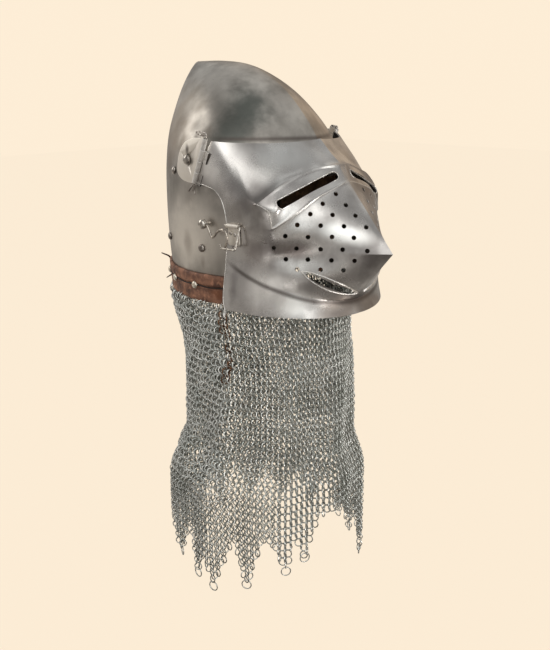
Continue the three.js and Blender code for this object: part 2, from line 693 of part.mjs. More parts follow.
// A part turned about the pivot line: radius and distance from the middle of the helmet.
function turnedOnPivot(profile, side, sides = 12) {
  const geometry = new THREE.LatheGeometry(profile.map(([r, y]) => new THREE.Vector2(r, y)), sides);
  if (side < 0) geometry.rotateX(Math.PI);
  return geometry.translate(pivotPlace.x, 0, pivotPlace.z);
}

function pivotRivet(side) {
  const headSeat = plateOuter + seatGap;
  const inside = skullFoot(pivotPlace.x, pivotPlace.z + pivotHead, 1).point.y - skullSheet * 2;
  return turnedOnPivot([
    [0, inside - pivotShank / 2], [pivotHead, inside - pivotShank / 2], [pivotHead, inside], [pivotShank, inside],
    [pivotShank, headSeat], [pivotHead, headSeat], [pivotHead * 0.92, headSeat + pivotHead * 0.26],
    [pivotHead * 0.62, headSeat + pivotHead * 0.5], [0, headSeat + pivotHead * 0.62],
  ], side);
}

function pivotWasher(side) {
  const bore = pivotShank + pinClearance;
  const outer = plateInner - seatGap;
  return turnedOnPivot([
    [bore, washerInner], [pivotWasherRadius, washerInner], [pivotWasherRadius, outer], [bore, outer], [bore, washerInner],
  ], side);
}

// A split pin: one folded wire whose eye stands above the hinge and whose legs are spread below.
function splitPin(side) {
  const top = hingePoint(hingeTopShare, side);
  const low = hingePoint(hingeLowShare, side);
  const down = low.clone().sub(top).normalize();
  const back = vec(down.z, 0, -down.x);
  const leg = pinRadius * 0.85;
  const at = (origin, downBy, backBy) => origin.clone().addScaledVector(down, downBy).addScaledVector(back, backBy);
  const shank = rod(pinRadius, at(top, -pinRadius, 0), at(low, pinRadius, 0), 8);
  const eyeWidth = knuckleRadius * 3.4;
  const eyeHeight = knuckleRadius * 0.75;
  const eye = wire(leg, [
    at(top, -pinRadius, 0), at(top, -eyeHeight, eyeWidth * 0.08), at(top, -eyeHeight * 1.2, eyeWidth * 0.5),
    at(top, -eyeHeight * 1.35, eyeWidth), at(top, -eyeHeight * 2.1, eyeWidth * 1.06), at(top, -eyeHeight * 2.5, eyeWidth * 0.55),
    at(top, -eyeHeight * 2.4, eyeWidth * 0.04), at(top, -eyeHeight * 1.5, -eyeWidth * 0.08), at(top, -pinRadius * 0.6, 0),
  ], 13, 5);
  const legLength = knuckleRadius * 4;
  const legs = [-1, 1].map((way) => wire(leg * 0.8, [
    at(low, -pinRadius, way * leg * 0.3), at(low, legLength * 0.25, way * leg * 0.6),
    at(low, legLength * 0.6, way * leg * 2.2), at(low, legLength, way * leg * 4.4),
  ], 5, 6));
  return joinTo(toSolid(shank), [eye, ...legs]);
}

// Latch on the right: stud, hook, and the wire keeper under its tab on the visor

const tabPlaceShare = [0.552, 0.3];
const tabFoot = sideOf(cheekFoot(tabPlaceShare[0] * halfLength, tabPlaceShare[1] * skullHeight), -1);
const tabRivetHead = 2;
const tabRivetDome = 1;
const tabBedGap = seatGap * 3;     // the tab is flat and the visor under it slightly round
const hookPlane = Math.abs(cheekFoot(0.5 * halfLength, tabPlaceShare[1] * skullHeight).point.y)
  + tabBedGap + tabSheet + tabRivetDome + seatGap * 2 + hookWire / 2;
const studTop = hookPlane + hookWire / 2 + seatGap;
const hookEyeRadius = studNeck + pinClearance + hookWire / 2;

function hookStudGeometry() {
  const { point } = hookStud;
  const inside = Math.abs(point.y) - skullSheet * 2;
  const geometry = new THREE.LatheGeometry([
    [0, inside - studNeck / 2], [studNeck * 2, inside - studNeck / 2], [studNeck * 2, inside], [studNeck, inside],
    [studNeck, studTop], [studHead, studTop], [studHead * 0.94, studTop + studHead * 0.24],
    [studHead * 0.66, studTop + studHead * 0.46], [0, studTop + studHead * 0.58],
  ].map(([r, y]) => new THREE.Vector2(r, y)), 16);
  geometry.rotateX(Math.PI);
  return geometry.translate(point.x, 0, point.z);
}

// The hook's line from its eye to its tip, as shares of its reach in front of the stud.
const hookReach = 40;
const hookShares = [
  [0.101, 0], [0.165, -0.04], [0.225, -0.13], [0.29, -0.26], [0.365, -0.333], [0.45, -0.29], [0.57, -0.17], [0.7, -0.095],
  [0.84, -0.068], [0.955, -0.13], [0.995, -0.25], [0.97, -0.4], [0.93, -0.53], [0.915, -0.6],
];

function latchHook() {
  const { x, z } = hookStud.point;
  const path = hookShares.map(([dx, dz]) => vec(x + dx * hookReach, -hookPlane, z + dz * hookReach));
  const eye = new THREE.TorusGeometry(hookEyeRadius, hookWire / 2, 6, 14);
  eye.rotateX(Math.PI / 2);
  eye.translate(x, -hookPlane, z);
  return joinTo(toSolid(eye), [wire(hookWire / 2, path, 24, 6)]);
}

// Puts a geometry made flat, with X forward, Y up and Z outwards, on the tab's place.
const tabForward = vec(0, 0, 1).cross(tabFoot.normal).normalize();
const tabBasis = new THREE.Matrix4().makeBasis(
  tabForward, tabFoot.normal.clone().cross(tabForward), tabFoot.normal).setPosition(tabFoot.point);
const onTab = (geometry) => geometry.applyMatrix4(tabBasis);
const keeperBore = keeperWire / 2 + pinClearance;
const keeperRoll = keeperBore + tabSheet * 0.8;
const tabTop = tabHeight / 2;
const rollHeight = tabBedGap + keeperRoll;
const tabRivetSpots = [-0.24, 0.14].map((share) => new THREE.Vector2(share * tabWidth, tabHeight * (0.06 - share * 0.12)));

function keeperTab() {
  const plate = new THREE.BoxGeometry(tabWidth, tabHeight, tabSheet);
  plate.translate(0, -keeperRoll / 2, tabBedGap + tabSheet / 2);
  const roll = rod(keeperRoll, vec(-tabWidth / 2, tabTop, rollHeight), vec(tabWidth / 2, tabTop, rollHeight), 12);
  const bore = rod(keeperBore, vec(-tabWidth, tabTop, rollHeight), vec(tabWidth, tabTop, rollHeight), 8);
  const holes = tabRivetSpots.map((spot) => tabRivetBore(spot));
  let tab = joinTo(toSolid(onTab(plate)), [onTab(roll)]);
  tab = cutFrom(tab, [onTab(bore), ...holes]);
  return tab;
}

const tabRivetShank = 1.1;
function tabRivetBore(spot) {
  return onTab(rod(tabRivetShank + seatGap, vec(spot.x, spot.y, -cutOver), vec(spot.x, spot.y, cutOver), 8));
}

function tabRivet(spot) {
  const geometry = rivetGeometry({
    head: tabRivetHead, dome: tabRivetDome, shank: tabRivetShank,
    through: visorSheet + tabBedGap + tabSheet + seatGap * 3, clench: tabRivetHead, sides: 8,
  });
  return onTab(geometry.translate(spot.x, spot.y, -visorSheet - seatGap * 2));
}

// A wire bent at its corners.
function bentWire(radius, corners, bend, sides, cornerSteps = 4) {
  const points = [corners[0]];
  for (let index = 1; index < corners.length - 1; index += 1) {
    const corner = corners[index];
    const before = corner.clone().lerp(corners[index - 1], bend / corner.distanceTo(corners[index - 1]));
    const after = corner.clone().lerp(corners[index + 1], bend / corner.distanceTo(corners[index + 1]));
    const arc = new THREE.QuadraticBezierCurve3(before, corner, after);
    points.push(...arc.getPoints(cornerSteps));
  }
  points.push(corners[corners.length - 1]);
  const path = new THREE.CurvePath();
  for (let index = 0; index < points.length - 1; index += 1) {
    path.add(new THREE.LineCurve3(points[index], points[index + 1]));
  }
  const lengths = path.getCurveLengths();
  const total = lengths[lengths.length - 1];
  const section = new THREE.Shape();
  section.absarc(0, 0, radius, 0, Math.PI * 2);
  const stops = [0, ...lengths.map((length) => length / total)];
  const followed = new THREE.Curve();
  followed.getPoint = (t) => {
    const scaled = t * (stops.length - 1);
    const index = Math.min(Math.floor(scaled), stops.length - 2);
    return points[index].clone().lerp(points[index + 1], scaled - index);
  };
  followed.getPointAt = followed.getPoint;
  followed.getSpacedPoints = (divisions) => Array.from({ length: divisions + 1 }, (_, i) => followed.getPoint(i / divisions));
  followed.getTangentAt = (t) => {
    const step = 0.5 / (stops.length - 1);
    const high = followed.getPoint(Math.min(t + step, 1));
    return high.sub(followed.getPoint(Math.max(t - step, 0))).normalize();
  };
  return new THREE.ExtrudeGeometry(section, {
    extrudePath: followed, steps: stops.length - 1, curveSegments: sides / 2, bevelEnabled: false });
}

function keeper() {
  const clearOfRoll = tabWidth / 2 + keeperWire;
  const barOut = hookPlane + hookWire / 2 + seatGap * 2 + keeperWire / 2 - Math.abs(tabFoot.point.y);
  const low = -tabHeight * 0.66;
  return onTab(bentWire(keeperWire / 2, [
    vec(-tabWidth / 2 - keeperWire, tabTop, rollHeight), vec(clearOfRoll, tabTop, rollHeight),
    vec(clearOfRoll, low, barOut + keeperWire * 0.7), vec(-tabWidth * 0.66, low, barOut), vec(-tabWidth * 0.72, low + keeperWire * 1.6, barOut),
  ], keeperWire, 8));
}

// Leather band around the skull's foot

const columnAngle = (column) => (column / skullColumns) * Math.PI * 2;
const bandLow = -6.5;
const bandHigh = bandLow + bandHeight;
const riseAtZ = (z) => {
  let low = 0;
  let high = 0.9;
  for (let pass = 0; pass < 30; pass += 1) {
    const middle = (low + high) / 2;
    if (backCurve.getPoint(middle).z < z) low = middle;
    else high = middle;
  }
  return (low + high) / 2;
};

// A point outside or inside the skull's side at a height, followed straight down below its foot.
function offSkull(z, angle, out) {
  const rise = riseAtZ(Math.max(z, 0));
  const point = skullPoint(rise, angle).addScaledVector(skullNormal(rise, angle), out);
  return vec(point.x, point.y, z < 0 ? z : point.z);
}

const bandColumns = [];
for (let column = 0; column <= skullColumns; column += 1) {
  if (offSkull(0, columnAngle(column), 0).x <= bandFrontX) bandColumns.push(column);
}

function bandGeometry() {
  const levels = [bandLow, 0, bandHigh];
  const layer = (out) => levels.map((z) => bandColumns.map((column) => offSkull(z, columnAngle(column), out)));
  return sheetSolid(layer(seatGap + bandThickness), layer(seatGap));
}

const bandStudZ = 13;
const bandRadius = (halfLength + halfBreadth) / 2;
const bandStudTurns = Math.floor((Math.PI * 0.62 * bandRadius) / bandStudPitch);
const bandStuds = [];
for (let turn = -bandStudTurns; turn <= bandStudTurns; turn += 1) {
  const angle = Math.PI + (turn * bandStudPitch) / bandRadius;
  const rise = riseAtZ(bandStudZ);
  bandStuds.push({ point: skullPoint(rise, angle), normal: skullNormal(rise, angle) });
}

// A rivet through the skull and what lies on it or under it.
function skullRivet(foot, { head, dome, shank, onTop = 0, under = 0 }) {
  const below = skullSheet + under + seatGap * 2;
  const geometry = rivetGeometry({
    head, dome, shank, through: below + onTop + seatGap, clench: shank * 2, sides: 7 });
  return aim(geometry, along(foot, -below), foot.normal);
}

const bandLaceShare = 0.595;

// A thong tied through the band at the back, with its short ends standing out.
function bandLace() {
  const angle = columnAngle(skullColumns * bandLaceShare);
  const out = seatGap * 2 + bandThickness + laceRadius;
  const spot = (z, turn, extra = 0) => offSkull(z, angle + turn, out + extra);
  const end = laceRadius * 8;
  return wire(laceRadius, [
    spot(bandHigh * 1.12, 0.03, end), spot(bandHigh * 0.9, 0.005, laceRadius * 1.5), spot(bandHigh * 0.66, 0, laceRadius * 0.5),
    spot(bandHigh * 0.36, 0.004), spot(bandHigh * 0.1, 0.012, laceRadius * 1.2), spot(bandLow * 0.4, 0.03, end * 0.8),
  ], 18, 6);
}

// Liner: a leather strip, petals and a crown disc

const facetSag = halfLength * (1 - Math.cos(Math.PI / skullColumns));
const linerOut = -(skullSheet + seatGap * 2 + facetSag);

function linerStrip() {
  const columns = bandColumns.filter((column) => offSkull(0, columnAngle(column), 0).x <= bandFrontX * 0.8);
  const levels = [linerLow, linerLow + linerHeight / 2, linerLow + linerHeight];
  const layer = (out) => levels.map((z) => columns.map((column) => offSkull(z, columnAngle(column), out)));
  return sheetSolid(layer(linerOut), layer(linerOut - linerThickness));
}

const petalGapShare = 0.08;
const petalTurns = 3;
const petalSag = halfLength * (1 - Math.cos(Math.PI / (petalCount * petalTurns)));
const petalOut = linerOut - facetSag / 2;
const petalShoulderShare = 0.8; // how high on the crown's way up a petal leaves the steel
const petalTipShare = 0.62;     // how far from the crown's middle its tip ends
const petalFrontShare = 0.3;    // petals turned further to the front than this start above the face

// Each petal follows the steel up from its foot, bends in, and lies flat on the crown disc.
function petal(index) {
  const middle = ((index + 0.5) / petalCount) * Math.PI * 2;
  const half = (Math.PI / petalCount) * (1 - petalGapShare);
  const front = Math.cos(middle) > petalFrontShare;
  const foot = front ? openingTopZ + linerHeight * 0.3 : linerLow + linerHeight + seatGap;
  const shoulder = crownHeight * petalShoulderShare;
  const bed = crownHeight + crownThickness + seatGap;
  const rows = (turn, out) => {
    const angle = middle + turn * half;
    const height = bed + linerThickness + out;
    const start = offSkull(shoulder, angle, petalOut + out);
    const wall = offSkull(height, angle, petalOut + out);
    const outwards = vec(Math.cos(angle), Math.sin(angle), 0);
    const onDisc = (radius) => vec(-crownBack, 0, height).addScaledVector(outwards, radius);
    const edge = onDisc(crownRadius + linerThickness * 2);
    const bend = new THREE.QuadraticBezierCurve3(start, wall, edge);
    const climbs = [0, 0.36, 0.7];
    return [
      ...climbs.map((climb) => offSkull(THREE.MathUtils.lerp(foot, shoulder, climb), angle, petalOut + out)),
      ...bend.getPoints(3),
      onDisc(crownRadius * petalTipShare),
    ];
  };
  const layer = (out) => {
    const columns = Array.from({ length: petalTurns + 1 }, (_, column) => rows((column / petalTurns) * 2 - 1, out));
    return columns[0].map((_, row) => columns.map((points) => points[row]));
  };
  return sheetSolid(layer(0), layer(-linerThickness));
}

function crownDisc() {
  const geometry = new THREE.CylinderGeometry(crownRadius, crownRadius, crownThickness, 32);
  geometry.rotateX(Math.PI / 2);
  return geometry.translate(-crownBack, 0, crownHeight + crownThickness / 2);
}

function crownLace() {
  const geometry = new THREE.TorusGeometry(crownRadius * 0.74, laceRadius, 5, 16);
  return geometry.translate(-crownBack, 0, crownHeight + crownThickness + seatGap * 2 + linerThickness + laceRadius);
}

// Mail curtain

const mailColumns = mailDags * 4;
const mailRows = 7;
const mailTop = bandLow - seatGap;

function mailPoint(column, drop, out) {
  const angle = (column / mailColumns) * Math.PI * 2;
  const front = THREE.MathUtils.smoothstep(Math.cos(angle), 0.83, 0.96);
  const dagPhase = (column % 4) / 4;
  const dag = Math.abs(dagPhase - 0.5) * 2;
  const top = mailTop + mailFrontRise * front;
  const sag = mailHemSag * Math.max(0, Math.cos(angle - mailSagTurn)) ** 2;
  const bottom = mailTop - mailLength + mailDagDepth * dag - sag;
  const z = THREE.MathUtils.lerp(top, bottom, drop);
  const low = (mailTop - z) / mailLength;
  const narrowing = Math.sin(Math.min(Math.max(low, 0) * 2.2, 1) * Math.PI) * mailNarrowing;
  const flare = THREE.MathUtils.smoothstep(low, 0.42, 0.8) * mailFlare;
  const fold = mailFoldDepth * Math.sin(angle * mailFolds + low * 2) * THREE.MathUtils.smoothstep(low, 0.05, 0.6);
  const grow = flare - narrowing + fold + out;
  const shift = mailForward * THREE.MathUtils.smoothstep(low, 0, 0.3) * (1 - THREE.MathUtils.smoothstep(low, 0.5, 0.8) * 0.7);
  return vec(
    (mailHalfLength + grow) * Math.cos(angle) + shift,
    (halfBreadth * skullStationShares[0].half + bandThickness + grow) * Math.sin(angle),
    z,
  );
}
function mailGeometry() {
  const layer = (out) => Array.from({ length: mailRows + 1 }, (_, row) => (
    Array.from({ length: mailColumns }, (__, column) => mailPoint(column, row / mailRows, out))));
  const turned = layer(0).map((row) => [...row].reverse());
  const inner = layer(-mailThickness).map((row) => [...row].reverse());
  return sheetSolid(turned, inner, { wrap: true });
}

// Assembly

const skullBores = [
  ...linerRivets.map((foot) => boreThroughSkull(foot, linerRivetShank + pinClearance)),
  ...bandStuds.map((foot) => boreThroughSkull(foot, linerRivetShank + pinClearance)),
];
const pivotBores = [-1, 1].map((side) => rod(
  pivotShank + pinClearance,
  vec(pivotPlace.x, side * halfBreadth * 0.7, pivotPlace.z),
  vec(pivotPlace.x, side * (plateOuter + cutOver), pivotPlace.z), 12));
const studBore = rod(
  studNeck + pinClearance,
  vec(hookStud.point.x, -halfBreadth * 0.7, hookStud.point.z),
  vec(hookStud.point.x, -halfBreadth * 1.2, hookStud.point.z), 12);
const clenchBores = [
  ...[-1, 1].map((side) => rod(
    pivotHead + pinClearance,
    vec(pivotPlace.x, side * halfBreadth * 0.7, pivotPlace.z),
    vec(pivotPlace.x, side * (plateOuter + cutOver), pivotPlace.z), 12)),
  rod(
    studNeck * 2 + pinClearance,
    vec(hookStud.point.x, -halfBreadth * 0.7, hookStud.point.z),
    vec(hookStud.point.x, -halfBreadth * 1.2, hookStud.point.z), 12),
];
const sideName = (side) => (side < 0 ? 'right' : 'left');

const skull = cutFrom(skullSolid(), [faceCutter(), ...skullBores, ...pivotBores, studBore]);
addPart('skull', toGeometry(skull), steel());

let visor = cutFrom(visorShell(), [rearCutter()]);
for (const side of [-1, 1]) {
  for (const index of [1, 3]) visor = joinTo(visor, knuckleGeometries(index, side, true));
}
visor = cutFrom(visor, [
  ...eyeSlots(),
  ...mouthSlots(),
  ...breathBores(),
  ...tabRivetSpots.map(tabRivetBore),
  pinBore(-1, pinRadius + pinClearance),
  pinBore(1, pinRadius + pinClearance),
]);
addPart('visor', toGeometry(visor), steel());

for (const side of [-1, 1]) {
  addPart(`side_plate_${sideName(side)}`, toGeometry(sidePlate(side)), steel());
  addPart(`hinge_pin_${sideName(side)}`, toGeometry(splitPin(side)), brightSteel());
  addPart(`pivot_rivet_${sideName(side)}`, pivotRivet(side), brightSteel());
  addPart(`pivot_washer_${sideName(side)}`, pivotWasher(side), steel());
}

addPart('hook_stud', hookStudGeometry(), brightSteel());
addPart('latch_hook', toGeometry(latchHook()), brightSteel());
addPart('keeper_tab', toGeometry(keeperTab()), steel());
addPart('keeper_wire', keeper(), brightSteel());
tabRivetSpots.forEach((spot, index) => addPart(`tab_rivet_${index + 1}`, tabRivet(spot), brightSteel()));

const band = cutFrom(toSolid(bandGeometry()), skullBores);
addPart('leather_band', toGeometry(band), leather());
bandStuds.forEach((foot, index) => addPart(`band_stud_${index + 1}`, skullRivet(foot, {
  head: bandStudHead, dome: linerRivetDome, shank: linerRivetShank, onTop: seatGap + bandThickness,
}), brightSteel()));
addPart('band_lace', bandLace(), leather());

for (const foot of linerRivets) {
  addPart(foot.name, skullRivet(foot, {
    head: linerRivetHead, dome: linerRivetDome, shank: linerRivetShank,
    under: seatGap * 2 + linerThickness + (foot.name.includes('high') ? petalSag * 1.8 : facetSag),
  }), brightSteel());
}
addPart('liner_strip', toGeometry(cutFrom(toSolid(linerStrip()), [...skullBores, ...clenchBores])), linerLeather());
for (let index = 0; index < petalCount; index += 1) {
  addPart(`liner_petal_${index + 1}`, toGeometry(cutFrom(toSolid(petal(index)), [...skullBores, ...clenchBores])), linerLeather());
}
addPart('crown_disc', crownDisc(), linerLeather());
addPart('crown_lace', crownLace(), leather());

addPart('mail_curtain', mailGeometry(), zinc());

// The part's origin is the middle of the crown disc's underside, where it sits on the head.
group.position.set(crownBack, 0, -crownHeight);
group.updateMatrixWorld(true);

export default group;
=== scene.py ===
import math

import bmesh
import bpy
import numpy as np
from mathutils import Matrix, Vector


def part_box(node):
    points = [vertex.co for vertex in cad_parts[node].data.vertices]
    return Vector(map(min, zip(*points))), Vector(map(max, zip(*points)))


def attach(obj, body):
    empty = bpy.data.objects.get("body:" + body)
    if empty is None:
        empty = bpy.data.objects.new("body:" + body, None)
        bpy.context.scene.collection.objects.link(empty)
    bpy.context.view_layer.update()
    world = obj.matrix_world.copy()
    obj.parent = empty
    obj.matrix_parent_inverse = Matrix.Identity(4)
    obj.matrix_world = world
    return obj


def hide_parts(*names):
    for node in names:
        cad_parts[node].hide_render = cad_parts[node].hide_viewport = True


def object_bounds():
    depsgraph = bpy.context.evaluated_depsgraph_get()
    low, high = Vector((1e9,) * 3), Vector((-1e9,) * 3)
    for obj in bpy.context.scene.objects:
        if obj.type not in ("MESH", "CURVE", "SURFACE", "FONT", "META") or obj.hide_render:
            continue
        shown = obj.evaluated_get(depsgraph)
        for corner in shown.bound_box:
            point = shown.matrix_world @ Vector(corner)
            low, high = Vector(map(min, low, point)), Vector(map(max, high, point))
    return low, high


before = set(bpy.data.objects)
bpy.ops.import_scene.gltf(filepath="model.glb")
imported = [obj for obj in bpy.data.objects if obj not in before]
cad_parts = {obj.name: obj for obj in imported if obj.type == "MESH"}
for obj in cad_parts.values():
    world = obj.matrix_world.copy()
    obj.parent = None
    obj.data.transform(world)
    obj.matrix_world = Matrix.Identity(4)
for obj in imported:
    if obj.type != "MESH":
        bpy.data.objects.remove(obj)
cad_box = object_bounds()

# Skull

# The skull is raised from one sheet of 2 mm steel: a tall bowl whose point sits far back, with a
# soft ridge down the front and an arched opening for the face. Rivets hold everything else to it.

SKULL_LENGTH, SKULL_BREADTH, SKULL_HEIGHT = 252.0, 213.0, 267.0
HALF_LENGTH, HALF_BREADTH = SKULL_LENGTH / 2, SKULL_BREADTH / 2
SKULL_SHEET = 2.0
CROWN_BACK, CROWN_HEIGHT = 36.0, 243.0


def in_frame(points):
    """Helmet millimetres, measured from the middle of the skull's foot, as frame metres."""
    return (np.asarray(points, float) + (CROWN_BACK, 0, -CROWN_HEIGHT)) / 1000


def share_place(share):
    """A place given as shares of the skull's half length, half breadth and height."""
    return np.array([share[0] * HALF_LENGTH, share[1] * HALF_BREADTH, share[2] * SKULL_HEIGHT])


def rounded_corner(start, corner, end, steps):
    """Places on a curve from start to end that bends as if it went by the corner."""
    start, corner, end = (np.asarray(place, float) for place in (start, corner, end))
    return [(1 - t) ** 2 * start + 2 * t * (1 - t) * corner + t * t * end for t in np.linspace(0, 1, steps)]


def through(points, where, tension=None):
    """Points on a smooth curve through the given ones, at shares of the way along it."""
    points = np.asarray(points, float)
    last = len(points) - 1
    ends = np.vstack([2 * points[0] - points[1], points, 2 * points[-1] - points[-2]])
    scaled = np.clip(np.asarray(where, float), 0, 1) * last
    start = np.minimum(scaled.astype(int), last - 1)
    t = (scaled - start)[:, None]
    p0, p1, p2, p3 = (ends[start + k] for k in range(4))
    if tension is None:
        gap = [np.maximum(np.sum((b - a) ** 2, axis=1, keepdims=True) ** 0.25, 1e-4)
               for a, b in ((p0, p1), (p1, p2), (p2, p3))]
        m1 = ((p1 - p0) / gap[0] - (p2 - p0) / (gap[0] + gap[1]) + (p2 - p1) / gap[1]) * gap[1]
        m2 = ((p2 - p1) / gap[1] - (p3 - p1) / (gap[1] + gap[2]) + (p3 - p2) / gap[2]) * gap[1]
    else:
        m1, m2 = tension * (p2 - p0), tension * (p3 - p1)
    return (p1 + m1 * t + (-3 * p1 + 3 * p2 - 2 * m1 - m2) * t ** 2
            + (2 * p1 - 2 * p2 + m1 + m2) * t ** 3)


SKULL_POINT = (-0.875, 0, 1)
SKULL_FRONT = [(0.917, 0, 0), (0.975, 0, 0.19), (0.983, 0, 0.377), (0.9, 0, 0.55), (0.775, 0, 0.668),
               (0.583, 0, 0.778), (0.358, 0, 0.872), (0.083, 0, 0.945), (-0.167, 0, 0.983), (-0.5, 0, 0.999),
               SKULL_POINT]
SKULL_BACK = [(-0.93, 0.972, 0), (-0.982, 0.997, 0.19), (-1, 1, 0.385), (-0.992, 0.97, 0.55),
              (-0.971, 0.89, 0.687), (-0.942, 0.735, 0.797), (-0.919, 0.55, 0.888), (-0.9, 0.365, 0.947),
              (-0.89, 0.225, 0.978), (-0.883, 0.105, 0.994), SKULL_POINT]
SKULL_RIDGE = 0.11


def skull_points(rise, angle):
    """Outer places of the skull, with rise from its foot to its point and angle round it."""
    rise, angle = np.broadcast_arrays(np.asarray(rise, float), np.asarray(angle, float))
    shape = rise.shape
    rise, angle = rise.ravel(), angle.ravel()
    front = through([share_place(p) for p in SKULL_FRONT], rise)
    back = through([share_place(p) for p in SKULL_BACK], rise)
    ridge = SKULL_RIDGE * np.abs(np.sin(angle)) * np.maximum(np.cos(angle), 0) ** 2
    along = ((1 + np.cos(angle)) / 2 - ridge)[:, None]
    points = back + (front - back) * along
    points[:, 1] = back[:, 1] * np.sin(angle)
    return points.reshape(shape + (3,))


def skull_normals(rise, angle):
    """The skull's outward directions, from places a small step away on each side."""
    step = 0.004
    high = np.clip(rise + step, 2 * step, 0.985)
    upward = skull_points(high, angle) - skull_points(high - 2 * step, angle)
    around = skull_points(rise, angle + step) - skull_points(rise, angle - step)
    normal = np.cross(around, upward)
    return normal / np.linalg.norm(normal, axis=-1, keepdims=True)


def side_foot(x, z, side):
    """The skull's place and normal where its right or left side passes a given X and Z."""
    spans = [(0.0, 0.95), (0.05, math.pi - 0.05)]
    for _ in range(6):
        rise, angle = np.meshgrid(np.linspace(*spans[0], 25), np.linspace(*spans[1], 25), indexing="ij")
        points = skull_points(rise, angle)
        best = np.unravel_index(np.argmin(np.hypot(points[..., 0] - x, points[..., 2] - z)), rise.shape)
        found = (rise[best], angle[best])
        reaches = [(high - low) / 10 for low, high in spans]
        spans = [(max(value - reach, 0), value + reach) for value, reach in zip(found, reaches)]
    rise, angle = np.array(found[0]), np.array(found[1] * side)
    return skull_points(rise, angle), skull_normals(rise, angle)


def mesh_piece(name, vertices, faces, smooth_angle):
    """A piece from places in frame metres, with its faces turned outwards."""
    mesh = bpy.data.meshes.new(name)
    mesh.from_pydata([tuple(v) for v in vertices], [], [tuple(f) for f in faces])
    mesh.validate()
    piece = bpy.data.objects.new(name, mesh)
    bpy.context.scene.collection.objects.link(piece)
    tidy_normals(piece)
    if smooth_angle:
        crisp(piece, smooth_angle)
    return piece


def crisp(piece, angle):
    """Smooth shading with sharp edges where faces meet at more than an angle."""
    piece.data.shade_smooth()
    piece.data.set_sharp_from_angle(angle=math.radians(angle))


def tidy_normals(piece):
    """Turns every face of a piece outwards."""
    work = bmesh.new()
    work.from_mesh(piece.data)
    bmesh.ops.recalc_face_normals(work, faces=work.faces)
    if work.faces and work.calc_volume(signed=True) < 0:
        bmesh.ops.reverse_faces(work, faces=work.faces)
    work.to_mesh(piece.data)
    work.free()


def sheet_faces(rows, columns, wrap=False):
    """Quads of a closed sheet whose outer grid comes first and whose inner grid follows."""
    faces = []
    across = columns if wrap else columns - 1
    at = lambda layer, r, c: layer * rows * columns + r * columns + c % columns
    low, last = rows - 1, columns - 1
    for r in range(rows - 1):
        for c in range(across):
            faces.append((at(0, r, c), at(0, r, c + 1), at(0, r + 1, c + 1), at(0, r + 1, c)))
            faces.append((at(1, r, c), at(1, r + 1, c), at(1, r + 1, c + 1), at(1, r, c + 1)))
    for c in range(across):
        faces.append((at(0, 0, c + 1), at(0, 0, c), at(1, 0, c), at(1, 0, c + 1)))
        faces.append((at(0, low, c), at(0, low, c + 1), at(1, low, c + 1), at(1, low, c)))
    if not wrap:
        for r in range(rows - 1):
            faces.append((at(0, r, 0), at(0, r + 1, 0), at(1, r + 1, 0), at(1, r, 0)))
            faces.append((at(0, r + 1, last), at(0, r, last), at(1, r, last), at(1, r + 1, last)))
    return faces


def cut_away(piece, cutters):
    """Takes closed cutters out of a closed piece, then removes them."""
    for cutter in cutters:
        cut = piece.modifiers.new("cut", "BOOLEAN")
        cut.operation, cut.solver, cut.object = "DIFFERENCE", "MANIFOLD", cutter
    settle(piece)
    for cutter in cutters:
        bpy.data.objects.remove(cutter, do_unlink=True)


def settle(piece):
    """Applies a piece's modifiers to its mesh."""
    evaluated = piece.evaluated_get(bpy.context.evaluated_depsgraph_get())
    mesh = bpy.data.meshes.new_from_object(evaluated)
    piece.modifiers.clear()
    piece.data = mesh


def prism(name, outline, low, high):
    """A closed block with an outline in X and Z, from one Y to another, in millimetres."""
    count = len(outline)
    vertices = [(x, y, z) for y in (low, high) for x, z in outline]
    faces = [tuple(range(count)), tuple(reversed(range(count, 2 * count)))]
    faces += [(i, (i + 1) % count, (i + 1) % count + count, i + count) for i in range(count)]
    return mesh_piece(name, in_frame(vertices), faces, smooth_angle=0)


class Field:
    """A shader socket that ordinary sums work on; tree is the material that is being written."""

    tree = None

    def __init__(self, socket):
        self.socket = socket

    @classmethod
    def node(cls, kind, settings=None, values=None, out=0):
        """A node of a kind: its settings are set first, then the values or links of its sockets."""
        made = cls.tree.nodes.new("ShaderNode" + kind)
        for key, value in (settings or {}).items():
            setattr(made, key, value)
        for key, value in (values or {}).items():
            if isinstance(value, Field):
                cls.tree.links.new(value.socket, made.inputs[key])
            else:
                made.inputs[key].default_value = value
        return cls(made.outputs[out]) if made.outputs else made

    def sum(self, operation, *others, swap=False):
        values = [self, *others]
        if swap:
            values = values[::-1]
        return Field.node("Math", {"operation": operation}, dict(enumerate(values)))

    def __add__(self, other):
        return self.sum("ADD", other)

    def __mul__(self, other):
        return self.sum("MULTIPLY", other)

    def __sub__(self, other):
        return self.sum("SUBTRACT", other)

    def __rsub__(self, other):
        return self.sum("SUBTRACT", other, swap=True)

    __radd__ = __add__
    __rmul__ = __mul__

    def size(self):
        return self.sum("ABSOLUTE")

    def between(self, low, high, start=0.0, end=1.0):
        """A soft step from start to end while the value goes from low to high."""
        return Field.node("MapRange", {"interpolation_type": "SMOOTHSTEP"},
                          {0: self, 1: low, 2: high, 3: start, 4: end})

    def blend(self, first, second):
        """One colour where the mask is 0 and another where it is 1."""
        wide = lambda colour: colour if isinstance(colour, Field) else (*colour, 1)
        return Field.node("Mix", {"data_type": "RGBA"}, {0: self, 6: wide(first), 7: wide(second)}, out=2)


def start_material(name):
    material = bpy.data.materials.new(name)
    material.use_nodes = True
    Field.tree = material.node_tree
    Field.tree.nodes.clear()
    return material


